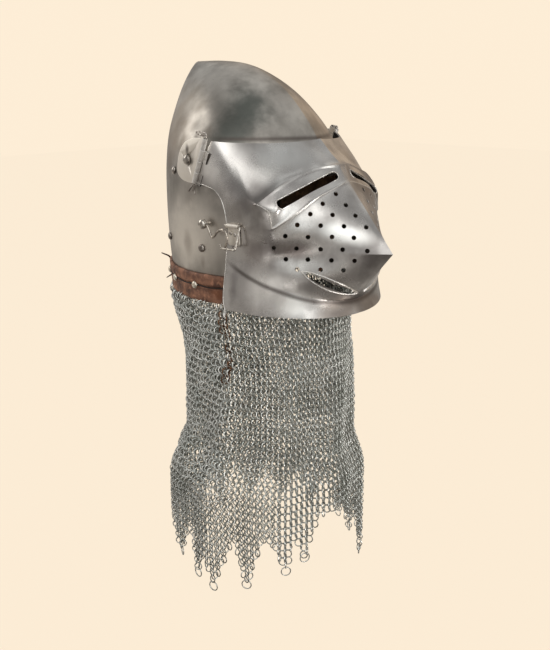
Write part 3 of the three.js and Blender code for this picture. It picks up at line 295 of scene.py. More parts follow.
def surface(material, bump, bump_strength, bump_distance=0.0004, **sockets):
    """The principled shader of a material, with its varying sockets linked."""
    values = {key.replace("_", " "): value for key, value in sockets.items()}
    values["Normal"] = Field.node("Bump", None, {"Strength": bump_strength, "Distance": bump_distance,
                                                 "Height": bump})
    shader = Field.node("BsdfPrincipled", None, values)
    Field.node("OutputMaterial", None, {"Surface": shader})
    return material


def place_field():
    return Field.node("TexCoord", out=3)


def noise(scale, detail, stretch=(1, 1, 1), seed=0.0, roughness=0.55):
    """Cloudy noise on the helmet itself, which a seed moves to another place."""
    mapped = Field.node("Mapping", None, {"Vector": place_field(), "Location": (seed, seed * 0.7, -seed),
                                          "Scale": stretch})
    return Field.node("TexNoise", None, {"Vector": mapped, "Scale": scale, "Detail": detail,
                                         "Roughness": roughness})


def spot(centre, reach, ragged=None):
    """A soft mask that is 1 at a helmet place and fades out over a reach in millimetres."""
    centre, reach = in_frame(centre), np.asarray(reach, float) / 1000
    offset = Field.node("VectorMath", {"operation": "SUBTRACT"}, {0: place_field(), 1: tuple(centre)})
    scaled = Field.node("VectorMath", {"operation": "DIVIDE"}, {0: offset, 1: tuple(reach)})
    length = Field.node("VectorMath", {"operation": "LENGTH"}, {0: scaled}, out=1)
    if ragged is not None:
        length = length + ragged
    return length.between(0.15, 1.0, 1.0, 0.0)


def painted_shade_line(slope, level, width, front):
    """A soft mask for painted shade along a line round the helmet where slope times X plus Z is the level.

    It begins at an X, front, and goes on forwards from there.
    """
    x, z = (Field.node("SeparateXYZ", None, {0: place_field()}, out=axis) * 1000.0 for axis in (0, 2))
    x, z = x - CROWN_BACK, z + CROWN_HEIGHT
    return (x * slope + z - level).size().between(0.0, width, 1.0, 0.0) * x.between(front, front + 30.0)


def steel(name, light, dark, marks, gloss, seed=0.0, brushed=(1, 1, 1), painted_shade_lines=()):
    """Worn steel: broad tone changes, local dirt marks and patches of painted light and shade, lines of
    painted shade, fine brushing and a few deep scratches.
    """
    material = start_material(name)
    broad = noise(9.0, 3.0, seed=seed)
    cloud = noise(38.0, 5.0, seed=seed + 3)
    brushing = noise(260.0, 3.0, stretch=brushed, seed=seed + 5, roughness=0.7)
    streaks = noise(24.0, 4.0, stretch=(1, 1, 0.28), seed=seed + 11)
    tone = (broad * 0.4 + cloud * 0.3 + streaks * 0.3).between(0.39, 0.61)
    colour = tone.blend(dark, light)
    ragged = (cloud - 0.5) * 0.9
    # Some of these marks are dirt and some are painted light and shade.
    for centre, reach, mark_colour, strength in marks:
        colour = (spot(centre, reach, ragged) * strength).blend(colour, mark_colour)
    # These lines are painted shade in bends and under edges.
    for slope, level, width, front, strength in painted_shade_lines:
        colour = (painted_shade_line(slope, level, width, front) * strength).blend(colour, SOOT_AND_SHADE)
    pits = noise(620.0, 2.0, seed=seed + 8).between(0.68, 0.78)
    colour = (pits * 0.35).blend(colour, tuple(c * 0.45 for c in dark))
    scratch = Field.node("TexVoronoi", {"feature": "DISTANCE_TO_EDGE"}, {
        "Vector": Field.node("Mapping", None, {"Vector": place_field(), "Scale": (1, 5, 1),
                                               "Rotation": (0.4, 0.9, 0.3)}),
        "Scale": 21.0})
    scratch = scratch.between(0.0, 0.006, 1.0, 0.0) * noise(30.0, 2.0, seed=seed + 1).between(0.55, 0.7)
    rough = brushing * 0.16 + tone.between(0, 1, gloss[1], gloss[0]) - 0.08 + pits * 0.12
    height = brushing * 0.5 + cloud * 0.5 - scratch * 0.7
    return surface(material, bump=height, bump_strength=0.16, bump_distance=0.0003,
                   Base_Color=colour, Metallic=1.0, Roughness=rough)


def dress(piece, body, material, replaces=()):
    """Gives a piece its material and its body, and hides the CAD nodes that it stands for."""
    piece.data.materials.clear()
    piece.data.materials.append(material)
    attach(piece, body)
    if replaces:
        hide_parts(*replaces)
    return piece


def blacken(piece, material, middle):
    """Gives the faces that look towards the helmet's middle the material of its unpolished inside."""
    piece.data.materials.append(material)
    middle = Vector(in_frame(middle))
    for face in piece.data.polygons:
        if face.normal.dot(face.center - middle) < 0:
            face.material_index = len(piece.data.materials) - 1


def skull_piece():
    """The skull as a bowl of sheet, whole, before the face is cut out of it."""
    rows, columns = 132, 208
    rise, angle = np.meshgrid((np.arange(rows) / rows) ** 0.95, np.arange(columns) / columns * 2 * math.pi,
                              indexing="ij")
    grid = skull_points(rise, angle)
    inner = grid - skull_normals(rise, angle) * SKULL_SHEET
    apex = share_place(SKULL_POINT)
    inner_apex = apex + (2 * SKULL_SHEET, 0, -1.2 * SKULL_SHEET)
    vertices = [*grid.reshape(-1, 3), *inner.reshape(-1, 3), apex, inner_apex]
    faces = sheet_faces(rows, columns, wrap=True)
    top = len(vertices) - 2
    last = (rows - 1) * columns
    faces = [f for f in faces if not all(v % (rows * columns) >= last for v in f)]
    for c in range(columns):
        following = (c + 1) % columns
        faces.append((last + c, last + following, top))
        faces.append((rows * columns + last + following, rows * columns + last + c, top + 1))
    return mesh_piece("bascinet_skull", in_frame(vertices), faces, smooth_angle=18)


OPENING_SIDE_X, OPENING_TOP_Z, OPENING_CORNER = 82.0, 139.0, 34.0
BELOW_FOOT, BEFORE_FACE = -30.0, 180.0
arch_corner = rounded_corner((OPENING_SIDE_X, OPENING_TOP_Z - OPENING_CORNER),
                             (OPENING_SIDE_X, OPENING_TOP_Z),
                             (OPENING_SIDE_X + OPENING_CORNER, OPENING_TOP_Z), 17)
face_arch = [(OPENING_SIDE_X, BELOW_FOOT), *map(tuple, arch_corner), (BEFORE_FACE, OPENING_TOP_Z),
             (BEFORE_FACE, BELOW_FOOT)]

skull = skull_piece()
cut_away(skull, [prism("face_cutter", face_arch, -150, 150)])

# The darkest of these colours serves for soot and for the painted shade lines.
WARM, PINK, SOOT_AND_SHADE = (0.47, 0.4, 0.33), (0.4, 0.33, 0.32), (0.12, 0.1, 0.09)
# Each mark has its place, its reach along X, Y and Z, its colour and its strength.
# Besides dirt smears, these paint light and shade: the pale patch low on the side, the warm patches on the
# back and on the far side and the light patch near the crown are painted reflections, and the dark grey-green
# patches high on the front are painted shade.
skull_light_shade_and_stains = [
    ((-60, -70, 190), (60, 60, 70), WARM, 0.7),
    ((-100, -40, 90), (50, 60, 90), WARM, 0.5),
    ((40, -75, 205), (34, 60, 60), (0.17, 0.18, 0.165), 0.75),
    ((-5, -100, 178), (7, 20, 14), SOOT_AND_SHADE, 0.8),
    ((-28, -95, 170), (9, 20, 26), (0.2, 0.17, 0.14), 0.6),
    ((10, -95, 190), (10, 24, 20), (0.22, 0.19, 0.16), 0.55),
    ((-20, -85, 215), (26, 30, 12), (0.24, 0.21, 0.18), 0.5),
    ((-5, -105, 110), (16, 30, 40), (0.28, 0.25, 0.22), 0.45),
    ((13, -105, 42), (5, 20, 12), (0.18, 0.14, 0.12), 0.7),
    ((-45, -100, 50), (24, 30, 30), (0.3, 0.27, 0.24), 0.5),
    ((25, -105, 90), (9, 20, 8), (0.2, 0.17, 0.15), 0.6),
    ((70, 40, 210), (60, 40, 60), WARM, 0.5),
    ((-20, -106, 72), (80, 60, 60), (1.0, 0.94, 0.86), 0.9),
    ((-42, -92, 200), (22, 30, 30), (0.2, 0.16, 0.13), 0.5),
    ((-60, -80, 150), (16, 30, 26), (0.26, 0.22, 0.18), 0.5),
    ((-12, -104, 62), (12, 20, 24), (0.36, 0.31, 0.27), 0.5),
    ((26, -80, 236), (30, 40, 12), (0.5, 0.4, 0.3), 0.6),
    ((34, -60, 214), (36, 50, 66), (0.14, 0.155, 0.14), 0.7),
]
# The dark line along the visor's top edge is painted shade on the skull.
skull_steel = steel("worn_skull_steel_with_painted_light", (0.64, 0.6, 0.55), (0.3, 0.28, 0.255), skull_light_shade_and_stains,
                    gloss=(0.3, 0.42), brushed=(1, 1, 6), painted_shade_lines=[(0.01, 181.5, 4.0, 10.0, 0.75)])
dress(skull, "helmet", skull_steel, ["skull"])
inside_steel = start_material("forge_black_inside")
scale_tone = noise(60.0, 4.0, seed=62).between(0.4, 0.6)
inside_steel = surface(inside_steel, bump=noise(180.0, 4.0, seed=61), bump_strength=0.3,
                       Base_Color=scale_tone.blend((0.035, 0.03, 0.027), (0.09, 0.075, 0.062)),
                       Metallic=0.6, Roughness=0.6)
blacken(skull, inside_steel, (0, 0, 110))

# Visor

# The pig-faced visor is one sheet beaten out to a pointed snout. It has raised frames round the
# eye slots, raised lips round the mouth slots, punched breaths, and a flared foot.

VISOR_SHEET, SNOUT_REACH = 1.8, 64.0
# Shares of places down the visor, each row from its middle to its side; a fourth share is the snout's reach.
VISOR_ROWS = {
    "top": [(0.8, 0, 0.674), (0.781, 0.064, 0.67), (0.749, 0.211, 0.666), (0.684, 0.424, 0.664),
            (0.6, 0.582, 0.663), (0.517, 0.709, 0.665), (0.433, 0.798, 0.666), (0.333, 0.91, 0.67),
            (0.22, 1.001, 0.676), (0, 1.009, 0.68)],
    "brow": [(0.942, 0, 0.613), (0.926, 0.067, 0.61), (0.892, 0.217, 0.604), (0.819, 0.437, 0.596),
             (0.743, 0.603, 0.592), (0.642, 0.749, 0.59), (0.55, 0.837, 0.589), (0.433, 0.93, 0.591),
             (0.27, 1.003, 0.593), (0, 1.009, 0.595)],
    "root": [(1.017, 0, 0.587), (1, 0.07, 0.584), (0.945, 0.236, 0.579), (0.87, 0.463, 0.555),
             (0.825, 0.65, 0.526), (0.755, 0.87, 0.47), (0.71, 0.92, 0.462), (0.6, 0.965, 0.456),
             (0.42, 1.003, 0.457), (0, 1.009, 0.462)],
    "crest": [(1.063, 0, 0.573), (1.058, 0.069, 0.573), (0.982, 0.233, 0.564), (0.919, 0.466, 0.536),
              (0.879, 0.67, 0.507), (0.802, 0.928, 0.439), (0.785, 0.938, 0.436), (0.667, 0.972, 0.42),
              (0.5, 0.999, 0.408), (0, 1.009, 0.408)],
    "face_high": [(1.086, 0, 0.552), (1.084, 0.054, 0.552), (1.033, 0.227, 0.539), (0.98, 0.456, 0.509),
                  (0.927, 0.665, 0.468), (0.921, 0.815, 0.419), (0.838, 0.904, 0.404), (0.7, 0.966, 0.39),
                  (0.5, 1, 0.37), (0, 1.01, 0.37)],
    "face_low": [(1.115, 0, 0.529), (1.113, 0.049, 0.528), (1.085, 0.222, 0.512), (1.04, 0.445, 0.481),
                 (0.974, 0.66, 0.431), (0.917, 0.828, 0.381), (0.873, 0.871, 0.372), (0.733, 0.957, 0.355),
                 (0.5, 1.003, 0.335), (0, 1.012, 0.335)],
    "crease": [(1.146, 0, 0.506), (1.144, 0.049, 0.504), (1.137, 0.217, 0.485), (1.1, 0.433, 0.454),
               (1.021, 0.65, 0.395), (0.91, 0.837, 0.34), (0.896, 0.855, 0.338), (0.767, 0.936, 0.322),
               (0.5, 1.005, 0.306), (0, 1.015, 0.306)],
    "tip": [(1.146, 0, 0.232, 1), (1.146, 0.044, 0.232, 0.9), (1.13, 0.197, 0.23, 0.6),
            (1.09, 0.409, 0.226, 0.27), (1.02, 0.601, 0.224, 0.06), (0.9, 0.788, 0.222),
            (0.858, 0.837, 0.222), (0.717, 0.941, 0.22), (0.5, 1.015, 0.216), (0, 1.025, 0.216)],
    "chin": [(1.242, 0, 0.012), (1.24, 0.079, 0.0125), (1.221, 0.246, 0.02), (1.158, 0.463, 0.037),
             (1.058, 0.65, 0.061), (0.908, 0.818, 0.094), (0.842, 0.877, 0.11), (0.7, 0.97, 0.137),
             (0.48, 1.034, 0.149), (0, 1.045, 0.149)],
    "skirt": [(1.27, 0, -0.016), (1.268, 0.079, -0.016), (1.24, 0.259, -0.014), (1.165, 0.488, -0.004),
              (1.055, 0.68, 0.012), (0.895, 0.855, 0.032), (0.83, 0.913, 0.042), (0.69, 1.005, 0.06),
              (0.465, 1.066, 0.067), (0, 1.078, 0.067)],
    "hem": [(1.313, 0, -0.039), (1.31, 0.079, -0.04), (1.275, 0.276, -0.041), (1.183, 0.512, -0.039),
            (1.058, 0.709, -0.035), (0.892, 0.887, -0.029), (0.825, 0.946, -0.027), (0.683, 1.034, -0.022),
            (0.45, 1.094, -0.016), (0, 1.115, -0.016)],
}
# Each panel has its named rows, its steps from one named row to the next, and how far it swells.
VISOR_PANELS = [(("top", "brow", "root", "crest"), 12, 0),
                (("crest", "face_high", "face_low", "crease"), 9, 0),
                (("crease", "tip", "chin"), 46, 0.02),
                (("chin", "skirt", "hem"), 12, 0)]
CREST_ROW = 3 * 12
CREASE_ROW = CREST_ROW + 3 * 9
TIP_SHARP = 0.5
COLUMN_COUNTS = (6, 14, 18, 18, 16, 7, 13, 14, 8)
KNOT_PLACES = np.concatenate([[k + np.arange(n) / n] for k, n in enumerate(COLUMN_COUNTS)], axis=None)
KNOT_PLACES = np.append(KNOT_PLACES, len(COLUMN_COUNTS))
VISOR_COLUMNS = len(KNOT_PLACES)


def visor_row(name):
    """One named row of the visor, as a smooth line with a place in every column."""
    snout = [p[3] if len(p) > 3 else 0 for p in VISOR_ROWS[name]]
    places = [share_place(p[:3]) + (SNOUT_REACH * share, 0, 0) for p, share in zip(VISOR_ROWS[name], snout)]
    return through(places, KNOT_PLACES / len(COLUMN_COUNTS))


def visor_panel(names, steps, swell):
    """Rows of one smooth panel: smooth down the panel, but straight to the tip near the middle."""
    named = np.array([visor_row(name) for name in names])
    spans = len(names) - 1
    across = KNOT_PLACES / len(COLUMN_COUNTS)
    rows = []
    where = np.arange(spans * steps) / (spans * steps)
    tension = 0.5 if swell else None
    smooth = np.array([through(named[:, c], where, tension) for c in range(VISOR_COLUMNS)])
    for index, share in enumerate(where):
        knot, mix = divmod(share * spans, 1)
        row = smooth[:, index]
        if swell:
            knot = int(knot)
            straight = named[knot] * (1 - mix) + named[knot + 1] * mix
            sharp = np.clip(0.95 - row[:, 1:2] / (TIP_SHARP * HALF_BREADTH), 0, 1)
            sharp = sharp * sharp * (3 - 2 * sharp)
            bulge = swell * HALF_LENGTH * np.sin(mix * math.pi) ** 2
            bulge = bulge * np.sin(np.minimum(across * 1.5, 1) * math.pi)
            row = row + (straight - row) * sharp + bulge[:, None] * np.array([0.7, 0.7, 0])
        rows.append(row)
    return rows


def softened(grid, passes, axis):
    """The grid with each place drawn towards its neighbours along one axis; the edges stay."""
    grid = grid.copy()
    for _ in range(passes):
        middle = np.take(grid, range(1, grid.shape[axis] - 1), axis)
        before = np.take(grid, range(0, grid.shape[axis] - 2), axis)
        after = np.take(grid, range(2, grid.shape[axis]), axis)
        inside = (slice(None),) * axis + (slice(1, -1),)
        grid[inside] = middle * 0.5 + (before + after) * 0.25
    return grid


half_rows = np.array([row for names, steps, swell in VISOR_PANELS for row in visor_panel(names, steps, swell)]
                     + [visor_row("hem")])
# The cheeks and the outer brow are beaten smooth, and the middle keeps its creases.
CHEEK_KNOT, BROW_KNOT, BROW_ROWS = 6.0, 1.2, 30
PASSES_DOWN, PASSES_ACROSS = 200, 120
cheek = np.clip((KNOT_PLACES - CHEEK_KNOT) / 0.8, 0, 1)
cheek = (cheek * cheek * (3 - 2 * cheek))[None, :, None]
brow_down = np.clip(1 - np.arange(len(half_rows)) / BROW_ROWS, 0, 1)
brow_out = np.clip(KNOT_PLACES - BROW_KNOT, 0, 1)
soft_rows = softened(softened(half_rows, PASSES_DOWN, 0), PASSES_ACROSS, 1)
brow = brow_down[:, None, None] * brow_out[None, :, None]
half_rows = half_rows + (soft_rows - half_rows) * np.maximum(cheek, brow)


def unit(vector):
    return vector / np.linalg.norm(vector)


def visor_foot(level, z, facing, pull, step):
    """The outer face of the visor's left half at a level and a Z, and its normal there.

    It looks along X, where facing is 0 and the level is a Y, or along Y, where the level is an X.
    """
    other = 1 - facing
    near = np.hypot(half_rows[..., other] - level, half_rows[..., 2] - z) - half_rows[..., facing] * pull
    r, c = np.unravel_index(np.argmin(near), near.shape)
    r, c = (np.clip(value, step, count - 1 - step) for value, count in zip((r, c), near.shape))
    down = half_rows[r + step, c] - half_rows[r - step, c]
    over = half_rows[r, c + step] - half_rows[r, c - step]
    normal = unit(np.cross(over, down))
    normal = normal if normal[facing] > 0 else -normal
    point = half_rows[r, c].copy()
    point[facing] -= (normal[other] * (level - point[other]) + normal[2] * (z - point[2])) / normal[facing]
    point[other], point[2] = level, z
    return point, normal


def on_side(vector, side):
    """A place or direction of the wearer's left, mirrored where side is -1."""
    return np.array([vector[0], vector[1] * side, vector[2]])


def face_foot(y, z):
    """The visor's outer face in front of a Y and Z on the wearer's left, and its normal there."""
    return visor_foot(y, z, 0, 0.02, 2)


def cheek_foot(x, z):
    """The visor's outer face on the wearer's right at an X and Z, and its normal there."""
    return [on_side(found, -1) for found in visor_foot(x, z, 1, 0.05, 3)]


SLOT_INNER, SLOT_OUTER, SLOT_MIX, SLOT_HEIGHT = 0.15, 0.735, 0.49, 9.6


def frame_face(share, mix):
    """A place on an eye frame, from its crest (0) to the crease below it (1), at a share of the breadth."""
    ends = []
    for name in ("crest", "crease"):
        row = visor_row(name)
        ends.append([np.interp(share * HALF_BREADTH, row[:, 1], row[:, k]) for k in range(3)])
    return np.array(ends[0]) * (1 - mix) + np.array(ends[1]) * mix


def slot_frame(side):
    """Where an eye slot runs, on the wearer's left or right: its ends and the normal of its frame."""
    start, end = frame_face(SLOT_INNER, SLOT_MIX), frame_face(SLOT_OUTER, SLOT_MIX)
    middle = (SLOT_INNER + SLOT_OUTER) / 2
    normal = unit(np.cross(frame_face(middle, 0) - frame_face(middle, 1), end - start))
    return on_side(start, side), on_side(end, side), on_side(normal if normal[0] > 0 else -normal, side)


MOUTH_INNER, MOUTH_OUTER, MOUTH_HEIGHT = (0.137, 0.056), (0.571, 0.144), 6.0


def mouth_frame(side):
    """Where a mouth slot runs: its ends and the normal of the face between them."""
    (inner, first), (outer, second) = (face_foot(y * HALF_BREADTH, z * SKULL_HEIGHT)
                                       for y, z in (MOUTH_INNER, MOUTH_OUTER))
    return on_side(inner, side), on_side(outer, side), on_side(unit(first + second), side)


def stadium(length, height, grow=0.0, points=20):
    """The outline of a slot with round ends, a little larger all round by grow."""
    radius = height / 2 + grow
    half = max(length / 2 - height / 2, 0)
    quarter = math.pi / 2
    return [(end * half + radius * math.cos(turn), radius * math.sin(turn))
            for end, first in ((1, -quarter), (-1, quarter))
            for turn in np.linspace(first, first + math.pi, points)]


def slot_axes(start, end, normal):
    """The middle of a slot and its three directions: along it, up it, and out of the sheet."""
    run = end - start
    length = np.linalg.norm(run)
    across = unit(run / length if length > 1e-6 else np.cross(normal, (0.2, 0.1, 1.0)))
    normal = unit(normal - across * (normal @ across))
    return (start + end) / 2, across, np.cross(normal, across), normal


def face_lift(axes, outline, side):
    """How far out of a slot's plane the visor's own face lies at each place of an outline."""
    middle, across, upward, normal = axes
    lift = np.zeros(len(outline))
    for index, (x, y) in enumerate(outline):
        for _ in range(3):
            place = middle + across * x + upward * y + normal * lift[index]
            foot, face = (on_side(v, side) for v in face_foot(place[1] * side, place[2]))
            lift[index] += ((foot - place) @ face) / (normal @ face)
    return lift


def flared_cutter(name, start, end, normal, height, depth, flare, lip, side=0):
    """A slot cutter that widens where it meets the sheet, so that it leaves a bevelled rim.

    With a side given, the widening follows the visor's own face instead of a flat plane.
    """
    length = np.linalg.norm(end - start)
    axes = middle, across, upward, normal = slot_axes(start, end, normal)
    outline = stadium(length + height, height, 0.0)
    lift = face_lift(axes, outline, side) if side else np.zeros(len(outline))
    levels = [(-depth, 0.0, 0), (-lip, 0.0, 1), (lip, flare * 2, 1), (lip * 1.5 + depth * 0.4, flare * 2, 1)]
    vertices, rings = [], []
    for out, grow, followed in levels:
        wide = stadium(length + height, height, grow)
        rings.append(range(len(vertices), len(vertices) + len(wide)))
        vertices += [middle + across * x + upward * y + normal * (out + rise * followed)
                     for rise, (x, y) in zip(lift, wide)]
    count = len(rings[0])
    faces = [tuple(rings[0]), tuple(reversed(rings[-1]))]
    for lower, upper in zip(rings, rings[1:]):
        faces += [(lower[i], lower[(i + 1) % count], upper[(i + 1) % count], upper[i]) for i in range(count)]
    return mesh_piece(name, in_frame(vertices), faces, smooth_angle=0)


FRAME_END_KNOT, CREST_RIM, CREASE_RIM, RIM_REACH = 6.3, 0.7, 0.5, 1.1


def raise_rims(grid):
    """Lifts the thin rims along the frames' edges."""
    up, over = np.gradient(grid, axis=0), np.gradient(grid, axis=1)
    normal = np.cross(over, up)
    normal = normal / np.maximum(np.linalg.norm(normal, axis=-1, keepdims=True), 1e-9)
    normal[normal[..., 0] < 0] *= -1
    height = np.zeros(grid.shape[:2])
    fade = np.clip((FRAME_END_KNOT - KNOT_PLACES) / 0.8, 0, 1)
    for row, lift in ((CREST_ROW, CREST_RIM), (CREASE_ROW, CREASE_RIM)):
        near = np.linalg.norm(grid - grid[row][None], axis=-1)
        height += lift * fade * np.exp(-(near / RIM_REACH) ** 2)
    return grid + normal * height[..., None]


def visor_piece():
    """The visor as one sheet from side to side, before its slots and breaths are cut."""
    half = raise_rims(half_rows)
    left = half[:, 1:][:, ::-1]
    right = half * (1, -1, 1)
    grid = np.concatenate([left, right], axis=1)[::-1]
    rows, columns = grid.shape[:2]
    up = grid[np.minimum(np.arange(rows) + 1, rows - 1)] - grid[np.maximum(np.arange(rows) - 1, 0)]
    over = (grid[:, np.minimum(np.arange(columns) + 1, columns - 1)]
            - grid[:, np.maximum(np.arange(columns) - 1, 0)])
    normal = np.cross(up, over)
    normal = normal / np.linalg.norm(normal, axis=-1, keepdims=True)
    if normal[rows // 2, columns // 2, 0] < 0:
        normal = -normal
    inner = grid - normal * VISOR_SHEET
    vertices = [*grid.reshape(-1, 3), *inner.reshape(-1, 3)]
    return mesh_piece("hounskull_visor", in_frame(vertices), sheet_faces(rows, columns), smooth_angle=20)


HINGE_TOP, HINGE_LOW = (0.235, 0.685), (0.055, 0.497)
KNUCKLE_RADIUS, HINGE_SPLIT, PLATE_SHEET = 3.0, 0.4, 1.8
PLATE_INNER = HALF_BREADTH * 0.982 + 1
PLATE_OUTER = PLATE_INNER + PLATE_SHEET
HINGE_AXIS_Y = PLATE_OUTER + KNUCKLE_RADIUS - PLATE_SHEET
REAR_EDGE = [(0.132, 0.494), (0.228, 0.487), (0.315, 0.474), (0.397, 0.438), (0.437, 0.39), (0.456, 0.346),
             (0.45, 0.241), (0.446, 0.14), (0.446, 0.081), (0.451, 0.016), (0.476, -0.014), (0.49, -0.06)]
HINGE_LEAD = KNUCKLE_RADIUS + HINGE_SPLIT


def side_curve(shares, steps):
    """A smooth line seen from the side, through places given as shares of X and Z."""
    places = [(x * HALF_LENGTH, z * SKULL_HEIGHT, 0) for x, z in shares]
    return through(places, np.linspace(0, 1, steps))[:, :2]


top_point, low_point = (np.array([x * HALF_LENGTH + HINGE_LEAD, z * SKULL_HEIGHT])
                        for x, z in (HINGE_TOP, HINGE_LOW))
above = top_point + (top_point - low_point) * 0.6
rear_curve = side_curve(REAR_EDGE, 56)
rear_outline = [(-HALF_LENGTH, above[1]), tuple(above), tuple(low_point), *map(tuple, rear_curve),
                (-HALF_LENGTH, -16)]

BREATHS = [(0.222, 0.465), (0.388, 0.431), (0.175, 0.421), (0.52, 0.393), (0.335, 0.387), (0.136, 0.38),
           (0.64, 0.352), (0.458, 0.347), (0.273, 0.342), (0.091, 0.335), (0.739, 0.308), (0.562, 0.302),
           (0.383, 0.301), (0.219, 0.296), (0.814, 0.258), (0.639, 0.254), (0.465, 0.25), (0.313, 0.249),
           (0.149, 0.244), (0.716, 0.21), (0.556, 0.208), (0.395, 0.205), (0.235, 0.203), (0.648, 0.169),
           (0.481, 0.167), (0.313, 0.164)]
BREATH_BORE = 4.8


def line_up(direction):
    """Three unit directions, the last one along the given one."""
    third = unit(np.asarray(direction, float))
    helper = np.array([0, 0, 1.0]) if abs(third[2]) < 0.9 else np.array([1.0, 0, 0])
    first = unit(np.cross(helper, third))
    return first, np.cross(third, first), third


def lathe(name, profile, origin, direction, sides=36):
    """A turned piece from radius and height pairs, which start and end on the line it turns about."""
    first, second, third = line_up(direction)
    vertices, rings = [], []
    for radius, height in profile:
        base = np.asarray(origin, float) + third * height
        if radius < 1e-6:
            rings.append([len(vertices)])
            vertices.append(base)
            continue
        rings.append(list(range(len(vertices), len(vertices) + sides)))
        for k in range(sides):
            turn = 2 * math.pi * k / sides
            vertices.append(base + first * radius * math.cos(turn) + second * radius * math.sin(turn))
    faces = []
    for low, high in zip(rings, rings[1:]):
        for k in range(sides):
            a, b = low[k % len(low)], low[(k + 1) % len(low)]
            c, d = high[(k + 1) % len(high)], high[k % len(high)]
            faces.append(tuple(dict.fromkeys((a, b, c, d))))
    return mesh_piece(name, in_frame(vertices), faces, smooth_angle=40)


def dome(radius, height, rim, start):
    """The profile of a domed head whose thin straight rim stands on a height."""
    turns = np.linspace(0, math.pi / 2, 9)
    return ([(radius * 0.97, start), (radius, start + rim * 0.4)]
            + [(radius * math.cos(t), start + rim + (height - rim) * math.sin(t)) for t in turns[:-1]]
            + [(0, start + height)])


def drill(radius, low, high, origin, direction, sides=20):
    """A round cutter along a direction, from one height on it to another."""
    return lathe("drill", [(0, low), (radius, low), (radius, high), (0, high)], origin, direction, sides)


def skin_faces(rings, sides, closed=False):
    """Faces along a run of rings with equal sides, with a cap on each end unless it is closed."""
    faces = []
    for ring in range(rings if closed else rings - 1):
        low, high = ring * sides, (ring + 1) % rings * sides
        faces += [(low + k, low + (k + 1) % sides, high + (k + 1) % sides, high + k) for k in range(sides)]
    if not closed:
        faces += [tuple(range(sides)), tuple(range((rings - 1) * sides, rings * sides))]
    return faces


def tube(name, points, radius, sides=12, steps=None, closed=False, taper=None):
    """A wire with rounded ends along the points, or along a smooth line through them in so many steps."""
    points = np.asarray(points, float)
    if steps:
        points = through(points, np.linspace(0, 1, steps + 1))
    count = len(points)
    if closed:
        heading = np.roll(points, -1, 0) - np.roll(points, 1, 0)
    else:
        heading = np.gradient(points, axis=0)
    heading = heading / np.linalg.norm(heading, axis=1, keepdims=True)
    side = line_up(heading[0])[0]
    frames = []
    for direction in heading:
        side = unit(side - direction * (side @ direction))
        frames.append((side, np.cross(direction, side)))
    sizes = np.full(count, float(radius)) if taper is None else radius * np.asarray(taper, float)
    if not closed:
        turns = np.linspace(0.2, math.pi / 2, 4)[:-1]
        ends, reach = np.sin(turns), radius * np.cos(turns)[:, None]
        points = np.vstack([points[0] - heading[0] * reach, points, points[-1] + heading[-1] * reach[::-1]])
        frames = [frames[0]] * 3 + frames + [frames[-1]] * 3
        sizes = np.concatenate([ends * sizes[0], sizes, ends[::-1] * sizes[-1]])
        count += 6
    vertices = []
    for point, (one, two), size in zip(points, frames, sizes):
        for k in range(sides):
            turn = 2 * math.pi * k / sides
            vertices.append(point + (one * math.cos(turn) + two * math.sin(turn)) * size)
    return mesh_piece(name, in_frame(vertices), skin_faces(count, sides, closed), smooth_angle=60)


def joined(piece, others):
    """Joins closed pieces to a closed piece as one skin."""
    for other in others:
        add = piece.modifiers.new("add", "BOOLEAN")
        add.operation, add.solver, add.object = "UNION", "MANIFOLD", other
    settle(piece)
    crisp(piece, 40)
    for other in others:
        bpy.data.objects.remove(other, do_unlink=True)
    return piece


def hinge_line(side):
    """The top and the foot of a hinge's axis, and the direction down it."""
    top, low = (np.array([x * HALF_LENGTH, side * HINGE_AXIS_Y, z * SKULL_HEIGHT])
                for x, z in (HINGE_TOP, HINGE_LOW))
    return top, low, unit(low - top)


def rolled_profile(radius, length, bevel):
    """The profile of a rolled barrel with a bevel at each end."""
    return [(0, 0), (radius - bevel, 0), (radius, bevel), (radius, length - bevel), (radius - bevel, length),
            (0, length)]


def knuckle(index, side, forward):
    """One rolled knuckle of a hinge, with the strip of sheet that it is rolled from."""
    top, low, down = hinge_line(side)
    pitch = np.linalg.norm(low - top) / 4
    start, length = top + down * (index * pitch + HINGE_SPLIT / 2), pitch - HINGE_SPLIT
    barrel = lathe("knuckle", rolled_profile(KNUCKLE_RADIUS, length, 0.35), start, down, sides=28)
    ahead = np.array([-down[2], 0, down[0]])
    ahead = ahead if (ahead[0] > 0) == forward else -ahead
    corners = []
    for along in (0.0, length):
        for face_y in (PLATE_INNER, PLATE_OUTER):
            for far in (0.0, KNUCKLE_RADIUS * 3):
                corner = start + down * along + ahead * far
                corner[1] = side * face_y
                corners.append(corner)
    faces = [(0, 1, 3, 2), (4, 6, 7, 5), (0, 4, 5, 1), (2, 3, 7, 6), (0, 2, 6, 4), (1, 5, 7, 3)]
    return [barrel, mesh_piece("strip", in_frame(corners), faces, smooth_angle=0)]


PIN_RADIUS, BORE_SLACK = 1.2, 0.35


def pin_cutter(side):
    """A cutter for the hole that a hinge pin passes through."""
    top, low, down = hinge_line(side)
    return drill(PIN_RADIUS + BORE_SLACK, -6, np.linalg.norm(low - top) + 6, top, down)


